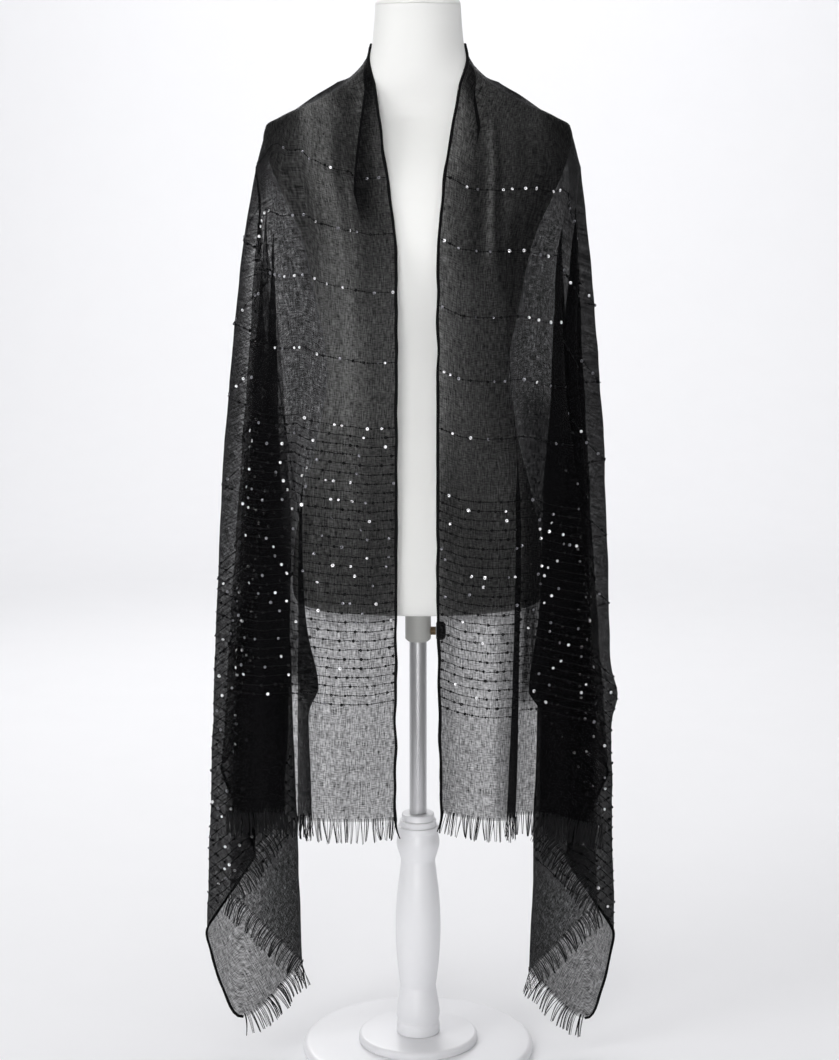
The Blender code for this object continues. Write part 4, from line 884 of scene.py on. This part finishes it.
# The hanging cloth is never quite even: it drifts slowly, waves a little, and its rolled front edges
# waver. A short loop of the outer edge stands out at the right.
DRIFT_HIGH, WAVE_HIGH, WAVER_WIDE = 1.6 * MM, 0.7 * MM, 1.7 * MM
WAVER_FADES = 0.012
EVEN_ROWS = 12                  # below the ridge, over which this begins
SHEET_OFF_FORM = 1.5 * MM
for i in range(height):
    for j in range(width):
        drift = noise.noise(Vector((flat_t[i, j] * 26, flat_s[i, j] * 7 * side_of[j], 3.0)))
        small = noise.noise(Vector((flat_t[i, j] * 70, flat_s[i, j] * 22 * side_of[j], 9.0)))
        waver = noise.noise(Vector((side_of[j] * 5, flat_s[i, j] * 30, 1.0)))
        begun = min(1, i / EVEN_ROWS)
        lift[i, j] += (DRIFT_HIGH * drift + WAVE_HIGH * small) * begun
        push[i, j] += WAVER_WIDE * waver * math.exp(-flat_t[i, j] / WAVER_FADES) * begun
LOOP_LEVEL, LOOP_TALL, LOOP_DEEP, LOOP_OUT = 0.472, 0.027, 0.022, 9 * MM
near = np.exp(-((place[..., 2] - LOOP_LEVEL) / LOOP_TALL) ** 2 - (place[..., 1] / LOOP_DEEP) ** 2)
place[..., 0] += LOOP_OUT * near * (place[..., 0] > 0.19)
place = keep_off_form(place + normals * lift[..., None] + toward_outer * push[..., None], SHEET_OFF_FORM)
normals = outward_normals(place)

# Black polyester voile, woven open from slubby yarn: it lets a little over a third of the light
# through, thicker lengths of yarn show as short streaks both ways, and one layer looks like gauze.
YARN_SPACING = 1.25 * MM        # the real yarns are 0.5 mm apart; this is as coarse as shows
WARP_RUN, WEFT_RUN = 10 * MM, 6 * MM
SLUB_THICK = 2.0 * MM
SLUB_LENGTH = 34 * MM
CLOUD_SIZE = 42 * MM
SLUB_FROM, SLUB_FULL = 0.60, 0.80       # of the noise, where a slub starts and where it is full
HEM_THINS, HEM_COVER = 5 * MM, 0.45     # the last wefts before the fringe are loose
LIGHT_THROUGH = 0.37
WARP_SHARE, WEFT_SHARE, SLUB_SHARE, CLOUD_SHARE = 0.96, 0.76, 0.08, 0.12
EXTRA_COVER_CALMER = 0.5              # how much of the weave's unevenness is lost where the extra cover of yarn and painted shade is 1
voile, tree, shader = new_finish("sheer_voile", Base_Color=linear("#050506"), Roughness=0.85,
                                 Specular_IOR_Level=0.05, Sheen_Weight=0.01, Sheen_Roughness=0.5)
flat = put(tree, "UVMap", uv_map="flat")
Yarn = namedtuple("Yarn", "across along detail")      # how wide and how long the grain of its noise is
grains = []
for yarn in (Yarn(YARN_SPACING, WARP_RUN, 1), Yarn(WEFT_RUN, YARN_SPACING, 1), Yarn(SLUB_THICK, SLUB_LENGTH, 2),
             Yarn(SLUB_LENGTH, SLUB_THICK, 2), Yarn(CLOUD_SIZE, 2 * CLOUD_SIZE, 3)):
    grain = put(tree, "Mapping", {"Vector": flat, "Scale": (1 / yarn.across, 1 / yarn.along, 1)})
    grain = put(tree, "TexNoise", {"Vector": grain, "Scale": 1.0, "Detail": yarn.detail})
    grains.append(grain)
warp, weft, warp_slub, weft_slub, clouds = grains
slub = put(tree, "Math", {0: warp_slub, 1: weft_slub}, operation="MAXIMUM")
slub = put(tree, "MapRange", {"Value": slub, "From Min": SLUB_FROM, "From Max": SLUB_FULL,
                              "To Max": SLUB_SHARE})
plain = 1 - LIGHT_THROUGH - (WARP_SHARE + WEFT_SHARE + CLOUD_SHARE) / 2
cover = slub
for grain, share in ((warp, WARP_SHARE), (weft, WEFT_SHARE), (clouds, CLOUD_SHARE)):
    cover = put(tree, "Math", {0: grain, 1: share, 2: cover}, operation="MULTIPLY_ADD")
open_share = put(tree, "Math", {0: 1 - plain, 1: cover}, operation="SUBTRACT")
# The extra cover per point, partly extra yarn and partly painted shade, closes the weave and so darkens the
# voile.
layers = put(tree, "Attribute", attribute_name="yarn_and_shade").outputs["Fac"]
calmer = put(tree, "MapRange", {"Value": layers, "To Max": EXTRA_COVER_CALMER})
open_share = put(tree, "Mix", {0: calmer, 2: open_share, 3: LIGHT_THROUGH}, data_type="FLOAT")
layers = put(tree, "Math", {0: layers, 1: 1.0}, operation="ADD")
let_through = put(tree, "Math", {0: open_share, 1: layers}, operation="POWER")
cover = put(tree, "Math", {0: 1.0, 1: let_through}, operation="SUBTRACT")
along_cloth = put(tree, "SeparateXYZ", {0: flat}).outputs[1]
along_cloth = put(tree, "Math", {0: along_cloth}, operation="ABSOLUTE")
to_hem = put(tree, "Math", {0: HALF_LENGTH, 1: along_cloth}, operation="SUBTRACT")
thinning = put(tree, "MapRange", {"Value": to_hem, "From Max": HEM_THINS, "To Min": HEM_COVER})
cover = put(tree, "Math", {0: cover, 1: thinning}, operation="MULTIPLY", use_clamp=True)
feed(shader, {"Alpha": cover})
bump = put(tree, "Bump", {"Strength": 0.35, "Distance": 0.3 * MM, "Height": warp})
feed(shader, {"Normal": bump})

cloth_mesh = bmesh.new()
# the extra cover of each point: extra yarn and painted shade
yarn_and_shade_layer = cloth_mesh.verts.layers.float.new("yarn_and_shade")
uv = cloth_mesh.loops.layers.uv.new("flat")
bmesh.ops.create_grid(cloth_mesh, x_segments=width - 1, y_segments=height - 1, size=0.5)
cell = {}
for vertex in cloth_mesh.verts:
    j = round((vertex.co.x + 0.5) * (width - 1))
    i = round((0.5 - vertex.co.y) * (height - 1))
    cell[vertex] = (i, j)
for vertex, (i, j) in cell.items():
    vertex.co = place[i, j]
    vertex[yarn_and_shade_layer] = yarn_and_shade[i, j]
for face in cloth_mesh.faces:
    for loop in face.loops:
        i, j = cell[loop.vert]
        loop[uv].uv = (flat_t[i, j], side_of[j] * flat_s[i, j])
cloth_mesh.normal_update()
if sum(vertex.normal.dot(Vector(normals[cell[vertex]])) for vertex in list(cloth_mesh.verts)[::97]) < 0:
    bmesh.ops.reverse_faces(cloth_mesh, faces=cloth_mesh.faces)
cloth = keep(cloth_mesh, "stole_cloth", voile, sharp=None)
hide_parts("stole_left_front", "stole_back", "stole_right_front")
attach(cloth, "form")

# ------------------------------------------------------------------------------ rolled edges
# Both long edges are rolled over and closely stitched, so they read as a firm black line. At the
# inner edge the roll runs on below the hem in a short loose tail.
ROLL_RADIUS = 1.8 * MM
TAIL_LENGTH = 24 * MM           # of the roll below the hem, where it has come loose
TAIL_AWAY = 5.5 * MM
TAIL_THINS = 0.65
TAIL_STEPS = 6
PUCKER_SIZE = 1.2 * MM
# The same voile in several layers, puckered by its stitches: close, matt and nearly black.
rolled, tree, shader = new_finish("rolled_voile", Base_Color=linear("#070708"), Roughness=0.85,
                                  Specular_IOR_Level=0.12)
where = put(tree, "TexCoord").outputs["Object"]
puckers = put(tree, "TexNoise", {"Vector": where, "Scale": 1 / PUCKER_SIZE, "Detail": 2.0})
bump = put(tree, "Bump", {"Strength": 0.5, "Distance": 0.4 * MM, "Height": puckers})
feed(shader, {"Normal": bump})


def threads(name, paths, radius, material, roundness=1):
    """A mesh of round threads along paths; each path is points, or (point, share of the radius)."""
    curve = bpy.data.curves.new(name, "CURVE")
    curve.dimensions = "3D"
    curve.bevel_depth = radius
    curve.bevel_resolution = roundness
    curve.use_fill_caps = True
    for path in paths:
        spline = curve.splines.new("POLY")
        spline.points.add(len(path) - 1)
        for point, (spot, share) in zip(spline.points, path):
            point.co = (*spot, 1)
            point.radius = share
    source = bpy.data.objects.new(name, curve)
    scene.collection.objects.link(source)
    bpy.context.view_layer.update()
    data = bpy.data.meshes.new_from_object(source.evaluated_get(bpy.context.evaluated_depsgraph_get()))
    bpy.data.objects.remove(source)
    data.name = name
    data.materials.clear()
    data.materials.append(material)
    data.shade_smooth()
    piece = bpy.data.objects.new(name, data)
    scene.collection.objects.link(piece)
    return piece


def uneven(path, seed):
    """A path with the small changes of thickness of a hand rolled edge."""
    return [(tuple(p), 1 + 0.22 * noise.noise(Vector((k * 0.35, seed, 0)))) for k, p in enumerate(path)]


def tail(end, way):
    """The loose end of the roll, thinning as it goes, away from the panel."""
    shares = [(k + 1) / TAIL_STEPS for k in range(TAIL_STEPS)]
    return [((end[0] + way * TAIL_AWAY * u * u, end[1], end[2] - TAIL_LENGTH * u), 1 - TAIL_THINS * u)
            for u in shares]


inner_path = list(place[::-1, 0]) + list(place[0, neck[0]:neck[-1] + 1]) + list(place[:, -1])
inner_path = tail(place[-1, 0], 1)[::-1] + uneven(inner_path, 1.5) + tail(place[-1, -1], -1)
corners = [own[j] for j, line in enumerate(lines) if line.name == "corner"]
outer_path = list(place[-1, corners[0]:corners[1] + 1])
inner_roll = threads("rolled_inner_edge", [inner_path], ROLL_RADIUS, rolled, 2)
outer_roll = threads("rolled_outer_edge", [uneven(outer_path, 7.5)], ROLL_RADIUS, rolled, 2)

# ------------------------------------------------------------------------------ fringe
# At both ends the weft is pulled out and the warp is left as loose threads. They hang in small
# locks that draw together towards their tips.
FRINGE_LENGTH = 27 * MM
FRINGE_STARTS = 4 * MM          # above the hem, where the wefts begin to thin out
LOCK_PITCH = (3.4 * MM, 7.2 * MM)
LOCK_WIDE = (2.0 * MM, 4.4 * MM)
LOCK_THREADS = (4, 5, 5, 6)
LOCK_LENGTHS, THREAD_LENGTHS = (0.94, 1.05), (0.92, 1.0)
LOCK_DRAWS_IN = (0.44, 0.935)   # how far its threads have come together at their tips
LOCK_LEAN = 0.14
THREAD_RADIUS = 0.34 * MM
THREAD_STEPS = 5
FUZZ_SIZE = 1.6667 * MM
WEIGHT = 0.75                   # how far the threads turn down from square to the hem
random.seed(11)
# Loose black polyester yarn: matt and a little fuzzy.
warp_thread, tree, shader = new_finish("loose_warp", Roughness=0.8, Specular_IOR_Level=0.2)
where = put(tree, "TexCoord").outputs["Object"]
fuzz = put(tree, "TexNoise", {"Vector": where, "Scale": 1 / FUZZ_SIZE, "Detail": 2.0})
tone = put(tree, "Mix", {0: fuzz, 6: linear("#060607"), 7: linear("#141416")}, data_type="RGBA")
feed(shader, {"Base Color": tone})


def fringe(name, columns):
    """Locks of a few threads each, which draw together towards their tips."""
    hem = [Vector(place[-1, j]) for j in columns]
    above = [Vector(place[-4, j]) for j in columns]
    outward = [Vector(normals[-1, j]) for j in columns]
    ways, far = [], [0.0]
    for k in range(len(hem)):
        run = hem[min(k + 1, len(hem) - 1)] - hem[max(k - 1, 0)]
        way = run.cross(outward[k]).normalized()
        ways.append(way if way.dot(hem[k] - above[k]) > 0 else -way)
        if k:
            far.append(far[-1] + (hem[k] - hem[k - 1]).length)

    def at(distance, values):
        k = min(max(int(np.searchsorted(far, distance)) - 1, 0), len(far) - 2)
        u = (distance - far[k]) / max(far[k + 1] - far[k], 1e-9)
        return values[k].lerp(values[k + 1], min(max(u, 0), 1))

    paths, centre_at = [], 2 * MM
    while centre_at < far[-1]:
        length = FRINGE_LENGTH * random.uniform(*LOCK_LENGTHS)
        lean = Vector([random.gauss(0, LOCK_LEAN) for _ in range(3)])
        half = random.uniform(*LOCK_WIDE)
        for _ in range(random.choice(LOCK_THREADS)):
            offset = random.uniform(-half, half)
            root_at = min(max(centre_at + offset, 0), far[-1])
            root, way = at(root_at, hem), at(root_at, ways).normalized()
            side = (at(min(root_at + 1 * MM, far[-1]), hem) - at(max(root_at - 1 * MM, 0), hem)).normalized()
            draw = -offset * random.uniform(*LOCK_DRAWS_IN) / length
            own_length = length * random.uniform(*THREAD_LENGTHS)
            path = [(root - way * FRINGE_STARTS, 0.9), (root, 1.0)]
            spot, pace = root, own_length / THREAD_STEPS
            for n in range(1, THREAD_STEPS + 1):
                down = (way + Vector((0, 0, -1)) * WEIGHT * n / 2.5 + lean * n / 3).normalized()
                spot = spot + (down + side * draw) * pace
                path.append((spot, 1.05 - 0.04 * n))
            paths.append(path)
        centre_at += random.uniform(*LOCK_PITCH)
    return threads(name, paths, THREAD_RADIUS, warp_thread, 0)


left_fringe = fringe("fringe_left_threads", range(0, corners[0] + 1))
right_fringe = fringe("fringe_right_threads", range(width - 1, corners[1] - 1, -1))
for piece, node in ((left_fringe, "fringe_left"), (right_fringe, "fringe_right")):
    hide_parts(node)

# ------------------------------------------------------------------------------ sequin rows
# Small ring sequins are threaded on a dark carrying yarn that is laid in with the weft. They lie in
# a close band above each hem, and in single rows further up.
Row = namedtuple("Row", "side distance step_at step")      # distance: from the hem, along the cloth
SINGLE_ROWS = (
    Row(-1, 0.546, 0, 0), Row(-1, 0.627, 0, 0), Row(-1, 0.694, 0, 0), Row(-1, 0.768, 0.044, 0.007),
    Row(1, 0.466, 0, 0), Row(1, 0.534, 0, 0), Row(1, 0.609, 0, 0), Row(1, 0.686, 0, 0), Row(1, 0.761, 0, 0),
)
Band = namedtuple("Band", "side lowest rows pitch")
BANDS = (Band(-1, 0.147, 31, 0.01077), Band(1, 0.133, 24, 0.0112))
ROW_SAG = 4.5 * MM              # of the lower rows between the front edge and the tuck
ROW_SAG_WIDE = 0.145
ROW_SAG_ENDS, ROW_SAG_FADES = 0.40, 0.25    # above the hem
CARRIER_RADIUS = 0.42 * MM
CARRIER_STEP = 4 * MM
SEQUIN_RADIUS = 2.15 * MM
SEQUIN_HOLE = 0.45 * MM
SEQUIN_THICK = 0.25 * MM
SEQUIN_OFF = 1.1 * MM
SEQUIN_GAPS = (9, 13, 17, 21, 26, 32)
SINGLE_GAPS = (8, 11, 14, 17, 22)
SEQUIN_SIZES = (0.72, 1.04)
SEQUIN_TILT = 0.22
BRIGHT_SHARE = {-1: 0.35, 1: 0.27}      # painted highlights: share of the sequins of the left and of the right band
SINGLE_SHARE = 0.55             # of those in the single rows
# Few shine where the light comes from behind: how far that is from the hem and from the inner edge,
# and their share.
BACKLIT_LONG, BACKLIT_WIDE, BACKLIT_SHARE = 0.237, 0.13, 0.07
CARRIER_OFF, KNOT_OFF = 0.45 * MM, 0.5 * MM
CARRIER_WANDER = 0.8 * MM
KNOT_RADIUS = 0.9 * MM
KNOT_GAPS = (3, 5, 7, 11, 16)
WEAR_SIZE = 1.1111 * MM         # of the worn spots on the film


def row_across(side, distance, step_at=0, step=0):
    """Where a weft line crosses the columns: points, normals and places across the flat cloth."""
    found = []
    sags = eased_share((ROW_SAG_ENDS - distance) / ROW_SAG_FADES)
    span = range(0, own[centre] + 1) if side < 0 else range(width - 1, own[centre] - 1, -1)
    for j in span:
        t = flat_t[:, j]
        sag = ROW_SAG * np.sin(math.pi * np.minimum(t / ROW_SAG_WIDE, 1)) * sags
        s = flat_s[:, j] - sag - step * (t < step_at)
        at = HALF_LENGTH - distance
        if s[-1] < at or s[0] > at:
            break
        i = min(max(int(np.searchsorted(s, at)) - 1, 0), height - 2)
        u = (at - s[i]) / max(s[i + 1] - s[i], 1e-9)
        found.append((Vector(place[i, j] * (1 - u) + place[i + 1, j] * u),
                      Vector(normals[i, j] * (1 - u) + normals[i + 1, j] * u).normalized(), t[i]))
    return found


# Sequins are punched from black polyester film. Most are drawn black; some are drawn white, as painted
# highlights of sequins that catch the light, and some grey, as painted half highlights. The film is
# faintly clouded and its gloss is worn unevenly.
Film = namedtuple("Film", "name light dark metallic gloss rough_from rough_to")
sequin_film_and_highlights = []
for film in (
    Film("black_sequin_film", "#060607", "#030304", 0.0, 0.1, 0.30, 0.45),
    Film("sequin_painted_highlight", "#ffffff", "#eeeef2", 0.2, 0.5, 0.18, 0.34),
    Film("sequin_painted_half_highlight", "#88888d", "#66666b", 0.5, 0.5, 0.24, 0.40),
):
    made, tree, shader = new_finish(film.name, Metallic=film.metallic, Specular_IOR_Level=film.gloss)
    where = put(tree, "TexCoord").outputs["Object"]
    worn = put(tree, "TexNoise", {"Vector": where, "Scale": 1 / WEAR_SIZE, "Detail": 1.0})
    tone = put(tree, "Mix", {0: worn, 6: linear(film.light), 7: linear(film.dark)}, data_type="RGBA")
    feed(shader, {"Base Color": tone})
    rough = put(tree, "MapRange", {"Value": worn, "To Min": film.rough_from, "To Max": film.rough_to})
    feed(shader, {"Roughness": rough})
    sequin_film_and_highlights.append(made)

template = bmesh.new()
bmesh.ops.create_circle(template, segments=6, radius=SEQUIN_RADIUS)
ring = bmesh.ops.extrude_edge_only(template, edges=list(template.edges))["geom"]
inner = [g for g in ring if isinstance(g, bmesh.types.BMVert)]
bmesh.ops.scale(template, verts=inner, vec=(SEQUIN_HOLE / SEQUIN_RADIUS, SEQUIN_HOLE / SEQUIN_RADIUS, 1))
bmesh.ops.translate(template, verts=inner, vec=(0, 0, -0.4 * MM))
bmesh.ops.solidify(template, geom=list(template.faces), thickness=SEQUIN_THICK)
bmesh.ops.recalc_face_normals(template, faces=template.faces)
sequin = bpy.data.meshes.new("sequin_template")
template.to_mesh(sequin)
template.free()
bead = bmesh.new()
bmesh.ops.create_uvsphere(bead, u_segments=4, v_segments=2, radius=KNOT_RADIUS)
bmesh.ops.scale(bead, verts=bead.verts, vec=(1, 1.6, 1))
knot = bpy.data.meshes.new("knot_template")
bead.to_mesh(knot)
bead.free()


def laid(template_mesh, into, spot, facing, along, turn=0.0, grow=1.0):
    """Copy a template into a mesh, its face one way and its length another, larger or smaller."""
    side = facing.cross(along).normalized()
    frame_of = Matrix((side.cross(facing), side, facing)).transposed() @ Matrix.Rotation(turn, 3, "Z")
    place_of = Matrix.Translation(spot) @ frame_of.to_4x4() @ Matrix.Scale(grow, 4)
    template_mesh.transform(place_of)
    into.from_mesh(template_mesh)
    template_mesh.transform(place_of.inverted())


random.seed(23)
carriers, sequins, knots = [], bmesh.new(), bmesh.new()
rows_of = list(SINGLE_ROWS)
rows_of += [Row(band.side, band.lowest + k * band.pitch, 0, 0) for band in BANDS for k in range(band.rows)]
for row in rows_of:
    path = row_across(*row)
    if len(path) < 3:
        continue
    seed, single = random.uniform(0, 90), row in SINGLE_ROWS
    carrier, gone = [], 0.0
    next_point, next_sequin, next_knot = 0.0, random.uniform(2, 14) * MM, random.uniform(1, 6) * MM
    for (p, n, t), (q, m, _) in zip(path, path[1:]):
        run = (q - p).length
        along = (q - p).normalized()
        while next_point < gone + run:
            u = (next_point - gone) / run
            spot, facing = p.lerp(q, u), n.lerp(m, u)
            wander = noise.noise(Vector((next_point * 90, seed, 0))) * CARRIER_WANDER
            spot = spot + facing * CARRIER_OFF + facing.cross(along) * wander
            carrier.append((tuple(spot), 0.75 + 0.9 * abs(noise.noise(Vector((next_point * 140, seed, 5))))))
            next_point += CARRIER_STEP
        while next_knot < gone + run:
            u = (next_knot - gone) / run
            facing = n.lerp(m, u).normalized()
            laid(knot, knots, p.lerp(q, u) + facing * KNOT_OFF, facing, along, 0.5)
            next_knot += random.choice(KNOT_GAPS) * MM
        while next_sequin < gone + run:
            u = (next_sequin - gone) / run
            facing = (n.lerp(m, u) + Vector([random.gauss(0, SEQUIN_TILT) for _ in range(3)])).normalized()
            spot = p.lerp(q, u) + n.lerp(m, u) * SEQUIN_OFF
            backlit = t < BACKLIT_WIDE and row.distance < BACKLIT_LONG
            draw = random.random()
            share = BACKLIT_SHARE if backlit else SINGLE_SHARE if single else BRIGHT_SHARE[row.side]
            # painted highlights: some sequins white, some grey, the rest black
            painted_highlight = 1 if draw < share * 0.5 else 2 if draw < share else 0
            grow = random.uniform(*SEQUIN_SIZES)
            sequin.polygons.foreach_set("material_index", [painted_highlight] * len(sequin.polygons))
            laid(sequin, sequins, spot, facing, along, random.uniform(0, 1), grow)
            next_sequin += random.choice(SINGLE_GAPS if single else SEQUIN_GAPS) * MM
        gone += run
    carriers.append(carrier)
sequin_piece = keep(sequins, "sequins", sequin_film_and_highlights[0])
for made in sequin_film_and_highlights[1:]:
    sequin_piece.data.materials.append(made)
knot_piece = keep(knots, "yarn_knots", rolled)
carrier_piece = threads("sequin_carriers", carriers, CARRIER_RADIUS, rolled, 0)
sewn_on = [inner_roll, outer_roll, left_fringe, right_fringe, sequin_piece, knot_piece, carrier_piece]
for piece in sewn_on:
    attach(piece, "form")
